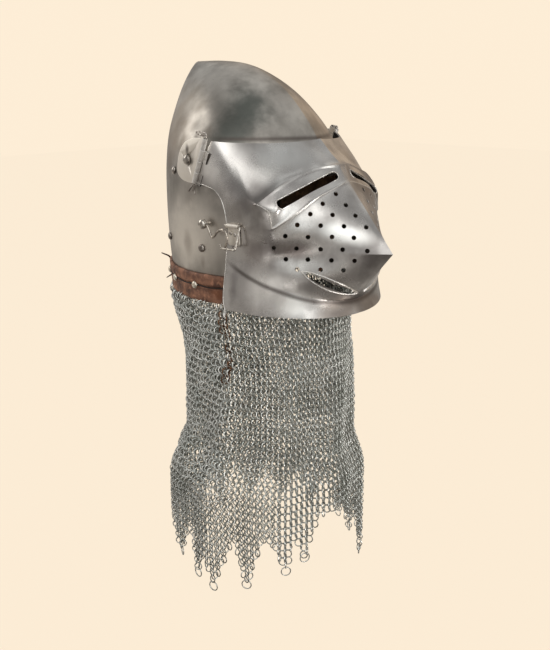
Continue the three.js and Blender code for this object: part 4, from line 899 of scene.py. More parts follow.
visor = visor_piece()
cutters = [prism("rear_cutter", rear_outline, -140, 140)]
for side in (-1, 1):
    start, end, normal = slot_frame(side)
    cutters.append(flared_cutter("eye_cutter", start, end, normal, SLOT_HEIGHT, 26, 0.35, 0.6, side))
    start, end, normal = mouth_frame(side)
    cutters.append(flared_cutter("mouth_cutter", start, end, normal, MOUTH_HEIGHT, 14, 0.25, 0.6, side))
    for y, z in BREATHS:
        point, normal = (on_side(v, side) for v in face_foot(y * HALF_BREADTH, z * SKULL_HEIGHT))
        cutters.append(flared_cutter("breath_cutter", point, point, normal, BREATH_BORE, 7, 0.2, 0.5))
cut_away(visor, cutters)
joined(visor, [part for side in (-1, 1) for index in (1, 3) for part in knuckle(index, side, True)])
cut_away(visor, [pin_cutter(side) for side in (-1, 1)])
crisp(visor, 24)

# These two colours are painted light and painted shade.
PAINTED_LIGHT, PAINTED_SHADE = (1.0, 0.98, 0.95), (0.28, 0.27, 0.27)
# Most of these patches are painted light and shade: the pale ones on the brow, along the snout's upper face
# and on the chin are painted highlights, the warm one on the far side is a painted reflection, and the grey
# ones on the cheek and over the eye frames are painted shade.
visor_light_shade_and_stains = [
    ((90, -80, 70), (40, 40, 34), (0.33, 0.28, 0.27), 0.6),
    ((70, -95, 20), (10, 30, 40), (0.14, 0.12, 0.12), 0.7),
    ((90, -88, 12), (22, 24, 24), (0.95, 0.95, 0.93), 0.85),
    ((128, -66, -4), (12, 14, 16), (0.85, 0.84, 0.82), 0.5),
    ((112, -62, 100), (30, 26, 22), (0.72, 0.74, 0.73), 0.55),
    ((160, -34, 84), (50, 26, 13), (0.95, 0.95, 0.93), 0.85),
    ((120, -66, 66), (40, 30, 13), PINK, 0.55),
    ((90, -70, 150), (36, 40, 22), (0.72, 0.72, 0.69), 0.5),
    ((60, -95, 140), (22, 30, 40), (0.3, 0.28, 0.27), 0.5),
    ((68, -100, 100), (22, 30, 34), (0.3, 0.27, 0.25), 0.5),
    ((120, 40, 130), (40, 50, 60), WARM, 0.5),
    ((36, -104, 168), (40, 30, 46), PAINTED_LIGHT, 1.0),
    ((62, -95, 152), (30, 30, 34), PAINTED_LIGHT, 0.7),
    ((98, -50, 166), (44, 44, 26), (0.7, 0.7, 0.69), 0.6),
    ((116, -62, 137), (40, 44, 19), PAINTED_SHADE, 0.2),
    ((116, 62, 137), (40, 44, 19), PAINTED_SHADE, 0.2),
    ((151, -38, 103), (50, 36, 20), PAINTED_LIGHT, 0.1),
    ((172, -24, 80), (46, 26, 13), PAINTED_LIGHT, 0.8),
    ((103, -96, 24), (36, 36, 26), PAINTED_LIGHT, 0.8),
    ((128, -77, 6), (30, 30, 20), PAINTED_LIGHT, 0.9),
    ((158, -30, -4), (34, 34, 22), (0.62, 0.52, 0.45), 0.6),
]
# The dark line in the bend above the flared foot is painted shade.
visor_steel = steel("worn_visor_steel_with_painted_light", (0.68, 0.66, 0.64), (0.3, 0.28, 0.27), visor_light_shade_and_stains,
                    gloss=(0.24, 0.36), seed=2.0, brushed=(1, 3, 8), painted_shade_lines=[(0.48, 77.0, 4.5, 50.0, 0.8)])
dress(visor, "visor", visor_steel, ["visor"])
blacken(visor, inside_steel, (10, 0, 90))


def bright(name, light=(0.74, 0.7, 0.64), dark=(0.42, 0.38, 0.34), gloss=(0.2, 0.34), seed=0.0):
    """Small polished steel, darker where it was never rubbed."""
    material = start_material(name)
    tone = noise(160.0, 3.0, seed=seed).between(0.35, 0.6)
    fine = noise(900.0, 2.0, seed=seed + 2)
    height = fine + noise(240.0, 2.0, seed=seed + 4) * 1.6
    return surface(material, bump=height, bump_strength=0.25, bump_distance=0.0002,
                   Base_Color=tone.blend(dark, light), Metallic=1.0,
                   Roughness=tone.between(0, 1, gloss[1], gloss[0]) + fine * 0.08)


def knot_column(knot):
    """The visor's column nearest to a knot."""
    return int(np.argmin(np.abs(KNOT_PLACES - knot)))


def lens(half, height):
    """The outline of a lens with two pointed ends."""
    x = np.cos(np.linspace(0, math.pi, 40, endpoint=False)) * half
    top = [(v, height * (1 - (v / half) ** 2) ** 0.8) for v in x]
    return top + [(-v, -h) for v, h in top]


def on_face(ends, outline, side):
    """An outline laid on the visor's own face round a slot that runs between two ends."""
    axes = middle, across, upward, normal = slot_axes(*ends)
    lift = face_lift(axes, outline, side)
    return np.array([middle + across * x + upward * y + normal * out for (x, y), out in zip(outline, lift)])


LIP_OVERHANG, LIP_HEIGHT = 9.0, 6.6
SLOT_RIM, LIP_RIM, FRAME_RIM, REAR_RIM = 0.62, 0.95, 0.6, 0.5
FRAME_INNER, FRAME_OUTER = knot_column(0.5), knot_column(5.62)
rim_steel = bright("rubbed_rim_steel", light=(0.95, 0.93, 0.9), dark=(0.62, 0.59, 0.55), gloss=(0.2, 0.3),
                   seed=21.0)
for side, label in ((-1, "right"), (1, "left")):
    slot, mouth = slot_frame(side), mouth_frame(side)
    slot_length, mouth_length = (np.linalg.norm(end - start) for start, end, _ in (slot, mouth))
    slot_edge = on_face(slot, stadium(slot_length + SLOT_HEIGHT, SLOT_HEIGHT, 0.5, 40), side)
    lip_edge = on_face(mouth, lens(mouth_length / 2 + LIP_OVERHANG, LIP_HEIGHT), side)
    frame_edge = [*half_rows[CREST_ROW, FRAME_INNER:FRAME_OUTER:3],
                  *half_rows[CREST_ROW:CREASE_ROW:5, FRAME_OUTER],
                  *half_rows[CREASE_ROW, FRAME_INNER:FRAME_OUTER:3][::-1]]
    frame_edge = [on_side(place, side) for place in frame_edge]
    rear_edge = [on_side(cheek_foot(x, z)[0], -side) for x, z in [low_point + 0.5, *rear_curve[2:-1:4]]]
    for rim in (tube(f"eye_slot_rim_{label}", slot_edge, SLOT_RIM, sides=8, closed=True),
                tube(f"mouth_lip_{label}", lip_edge, LIP_RIM, sides=10, closed=True),
                tube(f"frame_rim_{label}", frame_edge, FRAME_RIM, sides=8, steps=200),
                tube(f"visor_rear_rim_{label}", rear_edge, REAR_RIM, sides=8, steps=90)):
        dress(rim, "visor", rim_steel)

# Hinges and pivots

# On each side a D-shaped steel plate turns on a pivot rivet through the skull. It and the visor
# carry the knuckles of one barrel hinge, and a split pin, spread at its foot, holds them together.

PLATE_EDGE = [(0.053, 0.685), (-0.06, 0.668), (-0.15, 0.627), (-0.196, 0.564), (-0.195, 0.53),
              (-0.144, 0.507), (-0.07, 0.497), (0.003, 0.494)]
PIVOT_X, PIVOT_Z, PIVOT_SHANK, SEAT = -5.04, 158.06, 2.6, 0.3
# A domed head has its radius, its height and the height of its straight rim.
PIVOT_HEAD = (5.9, 4.0, 0.7)


def bevelled(piece, width):
    """Bevels a piece's sharp edges by a width in millimetres."""
    bevel = piece.modifiers.new("bevel", "BEVEL")
    bevel.width, bevel.segments, bevel.limit_method = width / 1000, 2, "ANGLE"
    settle(piece)


def rivet_profile(clench, inside, shank, head, seat):
    """The profile of a rivet: a clenched end given as radii and depths, a shank and a domed head."""
    return [(0, inside - clench[0][1]), *((radius, inside - depth) for radius, depth in clench),
            (clench[-1][0], inside), (shank, inside), (shank, seat), *dome(*head, seat)]


def side_plate(side):
    """The D-shaped plate with its two knuckles, its pin hole and its pivot hole."""
    outline = [(HINGE_TOP[0] * HALF_LENGTH - HINGE_LEAD, HINGE_TOP[1] * SKULL_HEIGHT),
               *map(tuple, side_curve(PLATE_EDGE, 64)),
               (HINGE_LOW[0] * HALF_LENGTH - HINGE_LEAD, HINGE_LOW[1] * SKULL_HEIGHT)]
    low, high = (PLATE_INNER, PLATE_OUTER) if side > 0 else (-PLATE_OUTER, -PLATE_INNER)
    plate = prism("side_plate", outline, low, high)
    bevelled(plate, 0.5)
    joined(plate, knuckle(0, side, False) + knuckle(2, side, False))
    pivot_hole = drill(PIVOT_SHANK + BORE_SLACK, -8, 8, (PIVOT_X, side * PLATE_INNER, PIVOT_Z), (0, 1, 0), 32)
    cut_away(plate, [pin_cutter(side), pivot_hole])
    return plate


def split_pin(side):
    """One folded wire: an eye above the hinge, two legs through it, and their ends spread below."""
    top, low, down = hinge_line(side)
    back = np.array([down[2], 0, -down[0]])
    at = lambda origin, fall, behind: origin + down * fall + back * behind
    leg = PIN_RADIUS * 0.5
    # The pin on the wearer's left has the smaller eye.
    wide, tall = (1, 1) if side < 0 else (0.6, 0.5)
    eye_places = [(-1.6, 3.2), (-0.6, 5.6), (4, 6.3), (10, 7.2), (14, 7.4), (15.2, 6.0), (13.8, 4.7),
                  (9, 3.9), (4, 3.2), (1.4, 2.2)]
    eye_line = [top + (-x * wide, 0, z * tall) for x, z in eye_places]
    loop = [at(top, 4, -leg), at(top, -0.8, -leg), *eye_line, at(top, -0.4, leg), at(top, 4, leg)]
    eye = tube("pin_eye", loop, 0.95, steps=72)
    legs = []
    for way in (-1, 1):
        apart = way * leg
        line = [at(top, 2, apart), at(low, -6, apart), at(low, 0, apart), at(low, 3, apart * 1.8),
                at(low, 7.2, apart * 5.2), at(low, 12 + way, apart * 8.6)]
        legs.append(tube("pin_leg", line, 1.0, steps=40))
    return joined(eye, legs)


def shine_knuckles(piece, material):
    """Gives the hinge barrels' faces their own, rubbed steel."""
    piece.data.materials.append(material)
    for side in (-1, 1):
        top, _, down = hinge_line(side)
        start = in_frame(top)
        for face in piece.data.polygons:
            offset = np.array(face.center) - start
            along = offset @ down
            if np.linalg.norm(offset - down * along) < (KNUCKLE_RADIUS + 0.12) / 1000 and along > -0.004:
                face.material_index = len(piece.data.materials) - 1


plate_stains = [((PIVOT_X, side * 108, PIVOT_Z + 11), (4.5, 6, 9), SOOT_AND_SHADE, 0.85) for side in (-1, 1)]
plate_stains += [((PIVOT_X + 1, side * 108, PIVOT_Z), (8, 6, 8), (0.3, 0.26, 0.22), 0.6) for side in (-1, 1)]
plate_steel = steel("side_plate_steel", (0.98, 0.93, 0.86), (0.8, 0.75, 0.68), plate_stains,
                    gloss=(0.48, 0.56), seed=7.0)
pin_steel = bright("split_pin_steel", light=(0.62, 0.58, 0.54), dark=(0.2, 0.17, 0.15), seed=1.0)
knuckle_steel = bright("knuckle_steel", light=(0.95, 0.93, 0.9), dark=(0.8, 0.77, 0.73), gloss=(0.4, 0.5),
                       seed=3.0)
pivot_steel = bright("pivot_rivet_steel", light=(0.5, 0.47, 0.43), dark=(0.3, 0.27, 0.24), gloss=(0.2, 0.3),
                     seed=5.0)

shine_knuckles(visor, knuckle_steel)
for side, label in ((-1, "right"), (1, "left")):
    plate = dress(side_plate(side), "visor", plate_steel, [f"side_plate_{label}"])
    plate.name = f"plate_{label}"
    shine_knuckles(plate, knuckle_steel)
    pin = dress(split_pin(side), "visor", pin_steel, [f"hinge_pin_{label}"])
    pin.name = f"split_pin_{label}"
    inside = side_foot(PIVOT_X, PIVOT_Z + 4.6, 1)[0][1] - SKULL_SHEET * 2
    seat = PLATE_OUTER + SEAT
    profile = rivet_profile([(4.2, 1.3), (4.6, 0.8)], inside, PIVOT_SHANK, PIVOT_HEAD, seat)
    rivet = lathe(f"domed_pivot_{label}", profile, (PIVOT_X, 0, PIVOT_Z), (0, side, 0), sides=48)
    dress(rivet, "helmet", pivot_steel, [f"pivot_rivet_{label}"])
    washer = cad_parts[f"pivot_washer_{label}"]
    washer = bpy.data.objects[washer] if isinstance(washer, str) else washer
    for index in range(len(washer.material_slots)):
        washer.material_slots[index].material = plate_steel

# Latch

# A bent wire hook hangs by its eye from a domed stud on the skull, and catches inside a wire
# keeper that is rolled into a small steel tab. Two rivets hold the tab to the visor.

HOOK_REACH = 40.0
HOOK_SHARES = [(0.101, 0), (0.165, -0.04), (0.225, -0.13), (0.29, -0.26), (0.365, -0.333), (0.45, -0.29),
               (0.57, -0.17), (0.7, -0.095), (0.84, -0.068), (0.955, -0.13), (0.995, -0.25), (0.97, -0.4),
               (0.93, -0.53), (0.915, -0.6)]
HOOK_RADIUS, HOOK_SHANK, HOOK_HEAD = 1.5, 2.2, (5.7, 4.0, 0.7)
KEEPER_RADIUS, TAB_WIDTH, TAB_HEIGHT, TAB_SHEET, TAB_BED = 1.2, 17.0, 21.0, 1.2, 0.9
TAB_SHANK, TAB_HEAD = 1.1, (2.1, 1.3, 0.3)


def node_middle(name):
    """The middle of a CAD node, in helmet millimetres."""
    low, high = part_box(name)
    return (np.array(low) + np.array(high)) * 500 - (CROWN_BACK, 0, -CROWN_HEIGHT)


stud_place = node_middle("hook_stud")
hook_y = node_middle("latch_hook")[1]
stud_top = -hook_y + HOOK_RADIUS + SEAT
stud_inside = abs(side_foot(stud_place[0], stud_place[2], -1)[0][1]) - SKULL_SHEET * 2
stud_profile = rivet_profile([(4.0, 1.1), (4.4, 0.7)], stud_inside, HOOK_SHANK, HOOK_HEAD, stud_top)
hook_stud = lathe("domed_hook_stud", stud_profile, (stud_place[0], 0, stud_place[2]), (0, -1, 0), sides=48)
dress(hook_stud, "helmet", bright("stud_steel", seed=9.0), ["hook_stud"])

hook_line = [(stud_place[0] + x * HOOK_REACH, hook_y, stud_place[2] + z * HOOK_REACH) for x, z in HOOK_SHARES]
eye_radius = HOOK_SHANK + BORE_SLACK + HOOK_RADIUS
eye_ring = [(stud_place[0] + eye_radius * math.cos(a), hook_y, stud_place[2] + eye_radius * math.sin(a))
            for a in np.linspace(0, 2 * math.pi, 40, endpoint=False)]
hook_eye = tube("hook_eye", eye_ring, HOOK_RADIUS, closed=True)
hook = joined(tube("wire_hook", hook_line, HOOK_RADIUS, steps=110), [hook_eye])
hook_steel = bright("hook_steel", light=(0.66, 0.6, 0.53), seed=11.0)
dress(hook, "latch_hook", hook_steel, ["latch_hook"])

tab_foot, tab_normal = cheek_foot(0.552 * HALF_LENGTH, 0.3 * SKULL_HEIGHT)
tab_forward = unit(np.cross((0, 0, 1), tab_normal))
tab_up = np.cross(tab_normal, tab_forward)
on_tab = lambda x, y, out: tab_foot + tab_forward * x + tab_up * y + tab_normal * out
tab_side, tab_top, tab_cut = TAB_WIDTH / 2, TAB_HEIGHT / 2, 2.0
roll_radius = KEEPER_RADIUS + BORE_SLACK + TAB_SHEET * 0.8
roll_out = TAB_BED + roll_radius
tab_low = -TAB_HEIGHT / 2 - roll_radius / 2
tab_outline = [(-tab_side, tab_low + tab_cut), (-tab_side + tab_cut, tab_low), (tab_side - tab_cut, tab_low),
               (tab_side, tab_low + tab_cut), (tab_side, tab_top), (-tab_side, tab_top)]
tab_corners = [on_tab(x, y, out) for out in (TAB_BED, TAB_BED + TAB_SHEET) for x, y in tab_outline]
tab_faces = [tuple(range(6)), tuple(reversed(range(6, 12)))]
tab_faces += [(i, (i + 1) % 6, (i + 1) % 6 + 6, i + 6) for i in range(6)]
tab = mesh_piece("rolled_tab", in_frame(tab_corners), tab_faces, smooth_angle=30)
bevelled(tab, 0.35)
roll_start = on_tab(-tab_side, tab_top, roll_out)
joined(tab, [lathe("roll", rolled_profile(roll_radius, TAB_WIDTH, 0.3), roll_start, tab_forward)])
wire_start = on_tab(-TAB_WIDTH, tab_top, roll_out)
cut_away(tab, [drill(KEEPER_RADIUS + BORE_SLACK, 0, 2 * TAB_WIDTH, wire_start, tab_forward, 36)])
dress(tab, "visor", plate_steel, ["keeper_tab"])

KEEPER_BEND = 2.4
bar_out = -hook_y + HOOK_RADIUS + SEAT * 2 + KEEPER_RADIUS + 0.1 - abs(tab_foot[1])
clear, low_bar = tab_side + KEEPER_BEND, -TAB_HEIGHT * 0.66
corners = [on_tab(-clear, tab_top, roll_out), on_tab(clear, tab_top, roll_out),
           on_tab(clear, low_bar, bar_out + 1.7), on_tab(-TAB_WIDTH * 0.66, low_bar, bar_out),
           on_tab(-TAB_WIDTH * 0.72, low_bar + 3.8, bar_out)]
keeper_line = [corners[0]]
for before, corner, after in zip(corners, corners[1:], corners[2:]):
    first, last = (corner + unit(place - corner) * KEEPER_BEND for place in (before, after))
    keeper_line += rounded_corner(first, corner, last, 8)
keeper_line.append(corners[-1])
keeper = tube("bent_keeper", keeper_line, KEEPER_RADIUS)
keeper_steel = bright("keeper_steel", light=(0.7, 0.66, 0.6), seed=13.0)
dress(keeper, "visor", keeper_steel, ["keeper_wire"])
for index, share in enumerate((-0.24, 0.14)):
    x, y = share * TAB_WIDTH, TAB_HEIGHT * (0.06 - share * 0.12)
    seat = VISOR_SHEET + TAB_BED + TAB_SHEET + SEAT
    profile = rivet_profile([(2.0, 0.55)], -0.55, TAB_SHANK, TAB_HEAD, seat)
    rivet = lathe(f"tab_rivet_dome_{index + 1}", profile, on_tab(x, y, -VISOR_SHEET), tab_normal, sides=28)
    rivet_steel = bright(f"tab_rivet_steel_{index + 1}", light=(0.85, 0.82, 0.78), seed=15.0 + index)
    dress(rivet, "visor", rivet_steel, [f"tab_rivet_{index + 1}"])

# Rivets and studs

# Domed steel rivets hold the liner inside the skull, and bright domed studs hold the leather band
# round its foot. Each goes through the sheet and is clenched flat inside.


RIVET_SHANK, LINER_DEPTH = 1.6, 6.5
LINER_HEAD, BAND_HEAD = (4.7, 3.1, 0.5), (4.4, 3.1, 0.5)


def rivet_at(name, foot, normal, head, base, under):
    """A domed rivet standing on a skull foot, with its shank and its clenched end."""
    bottom = -SKULL_SHEET - under - 0.6
    profile = rivet_profile([(2.9, 0.8), (3.2, 0.5)], bottom, RIVET_SHANK, head, base)
    return lathe(name, profile, foot, normal)


liner_rivet_steel = bright("liner_rivet_steel", light=(0.5, 0.46, 0.42), dark=(0.24, 0.21, 0.19), seed=17.0)
band_stud_steel = bright("band_stud_steel", light=(0.95, 0.9, 0.8), dark=(0.8, 0.7, 0.55), gloss=(0.3, 0.4),
                         seed=19.0)
LINER_RIVETS = {"side": (0.104, 0.217), "rear": (-0.516, 0.226), "high": (-0.331, 0.536)}
for label, (x, z) in LINER_RIVETS.items():
    for side, hand in ((-1, "right"), (1, "left")):
        foot, normal = side_foot(x * HALF_LENGTH, z * SKULL_HEIGHT, side)
        rivet = rivet_at(f"domed_rivet_{label}_{hand}", foot, normal, LINER_HEAD, SEAT, LINER_DEPTH)
        dress(rivet, "helmet", liner_rivet_steel, [f"liner_rivet_{label}_{hand}"])

BAND_LOW, BAND_HEIGHT, BAND_THICK, BAND_FRONT_X = -6.5, 34.0, 3.6, 84.0
BAND_HIGH = BAND_LOW + BAND_HEIGHT
STUD_Z, STUD_PITCH, BAND_RADIUS = 13.0, 46.0, (HALF_LENGTH + HALF_BREADTH) / 2
back_rises = np.linspace(0, 0.9, 900)
back_heights = through([share_place(p) for p in SKULL_BACK], back_rises)[:, 2]


def off_skull(z, angle, out):
    """A point off the skull at a height, followed straight down below the skull's foot."""
    z, angle, out = (value.astype(float) for value in np.broadcast_arrays(z, angle, out))
    rise = np.interp(np.maximum(z, 0), back_heights, back_rises)
    points = skull_points(rise, angle) + skull_normals(rise, angle) * out[..., None]
    points[..., 2] = np.where(z < 0, z, points[..., 2])
    return points


stud_turns = [math.pi + turn * STUD_PITCH / BAND_RADIUS for turn in range(-4, 5)]
for index, angle in enumerate(stud_turns):
    rise = np.interp(STUD_Z, back_heights, back_rises)
    foot, normal = skull_points(rise, angle), skull_normals(np.array(rise), np.array(angle))
    stud = rivet_at(f"domed_band_stud_{index + 1}", foot, normal, BAND_HEAD, SEAT * 2 + BAND_THICK, 0)
    dress(stud, "helmet", band_stud_steel, [f"band_stud_{index + 1}"])

# Leather band

# A thick leather band goes round the skull's foot from cheek to cheek. A thin cord lies along it
# from stud to stud, and its worn thong is tied through it at the back.


def leather(name, light, dark, seed, marks=()):
    """Old leather: uneven dye, rubbed patches, fine grain and short cracks."""
    material = start_material(name)
    dye = noise(55.0, 5.0, seed=seed).between(0.34, 0.66)
    rub = noise(140.0, 4.0, seed=seed + 2).between(0.5, 0.72)
    colour = (rub * 0.5).blend(dye.blend(dark, light), tuple(min(c * 2.1, 1) for c in light))
    for centre, reach, mark_colour, strength in marks:
        colour = (spot(centre, reach, (dye - 0.5) * 0.8) * strength).blend(colour, mark_colour)
    cells = Field.node("TexVoronoi", {"feature": "DISTANCE_TO_EDGE"},
                       {"Vector": place_field(), "Scale": 420.0})
    cracks = cells.between(0.0, 0.12, 1.0, 0.0) * noise(30.0, 2.0, seed=seed + 4).between(0.45, 0.65)
    colour = (cracks * 0.5).blend(colour, tuple(c * 0.4 for c in dark))
    height = noise(700.0, 3.0, seed=seed + 6) * 0.5 - cracks + dye * 0.8
    return surface(material, bump=height, bump_strength=0.5, bump_distance=0.0004,
                   Base_Color=colour, Metallic=0.0, Roughness=rub.between(0, 1, 0.6, 0.42))


def front_turn(front_x, widest, count):
    """How far round the skull's foot its surface falls back to an X beside the face."""
    turns = np.linspace(0.3, widest, count)
    return turns[np.argmax(off_skull(0.0, turns, 0.0)[:, 0] <= front_x)]


def band_piece(start):
    """The band from cheek to cheek, with a groove for its cord and a slightly wavy edge."""
    angles = np.linspace(start, 2 * math.pi - start, 420)
    # Heights and how far out they stand, up the outside and down again inside.
    section = [(BAND_LOW + 0.2, 0.55), (BAND_LOW, 1.5), (BAND_LOW + 0.4, 2.6), (BAND_LOW + 1.4, 3.4),
               (BAND_LOW + 4, 3.65)]
    section += [(z, 3.7) for z in np.linspace(BAND_LOW + 6, STUD_Z - 2.6, 5)]
    section += [(STUD_Z + above_stud, out)
                for above_stud, out in ((-1.7, 3.5), (-1.0, 2.75), (0, 2.5), (1.0, 2.75), (1.7, 3.5))]
    section += [(z, 3.7) for z in np.linspace(STUD_Z + 2.6, BAND_HIGH - 5, 5)]
    section += [(BAND_HIGH - 1.6, 3.5), (BAND_HIGH - 0.5, 2.7), (BAND_HIGH, 1.6), (BAND_HIGH - 0.2, 0.55)]
    section += [(z, 0.35) for z in np.linspace(BAND_HIGH - 0.8, BAND_LOW + 0.8, 8)]
    sizes, shifts = np.random.default_rng(5).normal(0, 1, (2, 8))
    vertices = []
    for angle in angles:
        for z, out in section:
            sway = sum(sizes[k] * math.sin(angle * (k + 3) + shifts[k]) for k in range(8)) * 0.22
            edge = abs(z - (BAND_LOW + BAND_HIGH) / 2) / (BAND_HEIGHT / 2)
            swell = 0.16 * math.sin(angle * 37 + z * 0.3) if out > 1 else 0
            vertices.append((z + sway * edge, angle, out + swell))
    z, angle, out = np.array(vertices).T
    faces = skin_faces(len(angles), len(section))
    return mesh_piece("thick_leather_band", in_frame(off_skull(z, angle, out)), faces, smooth_angle=50)


band_start = front_turn(BAND_FRONT_X, 1.6, 400)
band_stains = [((40, -100, 4), (26, 20, 9), (0.26, 0.09, 0.035), 0.6),
               ((-20, -104, 22), (40, 20, 8), (0.13, 0.055, 0.035), 0.5)]
band_leather = leather("band_leather_brown", (0.4, 0.19, 0.115), (0.12, 0.056, 0.037), 2.0, band_stains)
dress(band_piece(band_start), "helmet", band_leather, ["leather_band"])

CORD_RADIUS = 0.75
cord_turns = np.linspace(band_start + 0.01, 2 * math.pi - band_start - 0.01, 300)
cord_line = off_skull(STUD_Z + 0.5 * np.sin(cord_turns * 16.3), cord_turns, 3.35)
cord = tube("band_cord", cord_line, CORD_RADIUS, sides=8)
cord_leather = leather("dark_cord_leather", (0.03, 0.016, 0.012), (0.012, 0.008, 0.007), 6.0)
dress(cord, "helmet", cord_leather)

LACE_TURN, LACE_RADIUS = 0.595 * 2 * math.pi, 1.3
# Heights up the band, turns round it, and how far the thong stands off it.
lace_places = [(BAND_HIGH * 1.12, 0.03, 10.4), (BAND_HIGH * 0.9, 0.005, 1.95), (BAND_HIGH * 0.66, 0, 0.65),
               (BAND_HIGH * 0.36, 0.004, 0), (BAND_HIGH * 0.1, 0.012, 1.56), (BAND_LOW * 0.4, 0.03, 8.3)]
lace_bed = 2 * SEAT + BAND_THICK + LACE_RADIUS
lace_line = [off_skull(z, LACE_TURN + turn, lace_bed + off) for z, turn, off in lace_places]
lace_taper = np.concatenate([np.linspace(0.55, 1.15, 20), np.full(21, 1.15), np.linspace(1.15, 0.5, 20)])
lace = tube("tied_thong", lace_line, LACE_RADIUS, sides=10, steps=60, taper=lace_taper)
lace_leather = leather("thong_leather", (0.08, 0.034, 0.022), (0.02, 0.01, 0.008), 8.0)
dress(lace, "helmet", lace_leather, ["band_lace"])

# Liner

# Inside, a leather strip is riveted round the skull. Six leather petals rise from it and lie on a
# padded disc at the crown, where a lace draws them together.

STRIP_LOW, STRIP_HEIGHT, LINER_OUT, LINER_THICK = 40.0, 36.0, -3.1, 2.4
DISC_RADIUS, DISC_THICK = 28.0, 3.0


def edge_shares(count):
    """Places across a sheet, closer at its edges, and how far each is drawn in there."""
    places = [0.0, 0.012, 0.03, *np.linspace(0.06, 0.94, count), 0.97, 0.988, 1.0]
    return np.array(places), np.array([0.5, 0.12, 0.0] + [0.0] * count + [0.0, 0.12, 0.5])


def rounded_sheet(name, layers, rows, columns):
    """A closed sheet with rounded edges; layers gives its outer and inner grids of places."""
    (v, v_drawn), (u, u_drawn) = edge_shares(rows), edge_shares(columns)
    outer, inner = layers(v, u)
    draw = 0.9 * np.maximum(v_drawn[:, None], u_drawn[None, :])[..., None]
    high, low = outer + (inner - outer) * draw, inner + (outer - inner) * draw
    vertices = in_frame([*high.reshape(-1, 3), *low.reshape(-1, 3)])
    return mesh_piece(name, vertices, sheet_faces(len(v), len(u)), smooth_angle=60)


def strip_layers(v, u):
    """The strip's outer and inner faces, slightly puckered round the skull."""
    angle = strip_start + u[None, :] * 2 * (math.pi - strip_start)
    height = STRIP_LOW + v[:, None] * STRIP_HEIGHT
    pucker = 0.15 * (1 + np.sin(angle * 23))
    return [off_skull(height, angle, LINER_OUT - deep - pucker) for deep in (0, LINER_THICK)]


def rivet_holes(places):
    """Cutters for the holes that the liner's rivets pass through, on both sides."""
    feet = [side_foot(x * HALF_LENGTH, z * SKULL_HEIGHT, side) for x, z in places for side in (-1, 1)]
    return [drill(RIVET_SHANK + BORE_SLACK, -12, 2, foot, normal) for foot, normal in feet]


strip_start = front_turn(BAND_FRONT_X * 0.8, 1.8, 600) + 0.02
liner_leather = leather("liner_leather", (0.32, 0.2, 0.12), (0.17, 0.1, 0.06), 10.0)
strip = rounded_sheet("riveted_liner_strip", strip_layers, 7, 150)
cut_away(strip, rivet_holes([LINER_RIVETS["side"], LINER_RIVETS["rear"]]))
dress(strip, "helmet", liner_leather, ["liner_strip"])

PETALS, PETAL_OUT, PETAL_SHOULDER = 6, -3.5, CROWN_HEIGHT * 0.8
PETAL_BED = CROWN_HEIGHT + DISC_THICK + 0.3


def petal_line(angle, foot, deep):
    """Places up one line of a petal, from its foot on the skull's wall over on to the crown disc."""
    height = PETAL_BED + LINER_THICK - deep
    outwards = np.array([math.cos(angle), math.sin(angle), 0])
    on_disc = lambda radius: np.array([-CROWN_BACK, 0, height]) + outwards * radius
    climbs = foot + (PETAL_SHOULDER - foot) * np.array([0, 0.25, 0.5, 0.75])
    wall = off_skull(np.array([*climbs, PETAL_SHOULDER, height]), angle, PETAL_OUT - deep)
    bend = rounded_corner(wall[4], wall[5], on_disc(DISC_RADIUS + LINER_THICK * 2), 7)
    return np.array([*wall[:4], *bend, on_disc(DISC_RADIUS * 0.62)])


for index in range(PETALS):
    centre_turn = (index + 0.5) / PETALS * 2 * math.pi
    petal_half = math.pi / PETALS * 0.92
    petal_foot = OPENING_TOP_Z + 11.5 if math.cos(centre_turn) > 0.3 else STRIP_LOW + STRIP_HEIGHT + 0.6

    def petal_layers(v, u):
        angles = centre_turn + (u * 2 - 1) * petal_half
        lines = [[through(petal_line(angle, petal_foot, deep), v) for angle in angles]
                 for deep in (0, LINER_THICK)]
        return [np.array(layer).transpose(1, 0, 2) for layer in lines]

    petal = rounded_sheet(f"soft_petal_{index + 1}", petal_layers, 26, 14)
    cut_away(petal, rivet_holes([LINER_RIVETS["high"]]))
    dress(petal, "helmet", liner_leather, [f"liner_petal_{index + 1}"])

disc_top, disc_low = CROWN_HEIGHT + DISC_THICK, CROWN_HEIGHT
disc_profile = [(0, disc_low), (DISC_RADIUS - 1.2, disc_low), (DISC_RADIUS - 0.3, disc_low + 0.5),
                (DISC_RADIUS, disc_low + 1.4), (DISC_RADIUS - 0.3, disc_top - 0.5),
                (DISC_RADIUS - 1.2, disc_top)]
# The disc's top is quilted in rings.
disc_profile += [(radius, disc_top - 0.25 * (1 - math.cos(radius * 1.4)))
                 for radius in np.linspace(26, 2, 30)]
crown = lathe("stitched_crown_disc", [*disc_profile, (0, disc_top)], (-CROWN_BACK, 0, 0), (0, 0, 1), sides=72)
crown_leather = leather("crown_leather", (0.36, 0.24, 0.15), (0.2, 0.12, 0.07), 12.0)
dress(crown, "helmet", crown_leather, ["crown_disc"])
CROWN_LACE_TURN, CROWN_LACE_RADIUS = 20.7, 1.25
crown_lace_z = PETAL_BED + LINER_THICK + 1.6
crown_turns = np.linspace(0, 2 * math.pi, 96, endpoint=False)
crown_ring = [(-CROWN_BACK + CROWN_LACE_TURN * math.cos(a), CROWN_LACE_TURN * math.sin(a), crown_lace_z)
              for a in crown_turns]
crown_lace = tube("drawn_crown_lace", crown_ring, CROWN_LACE_RADIUS, sides=10, closed=True)
dress(crown_lace, "helmet", lace_leather, ["crown_lace"])

# Mail

# The aventail is mail: rows of round steel rings overlap as linked ones do, and lean to and fro. It
# hangs from the leather band all round, and its foot is cut into ragged points.

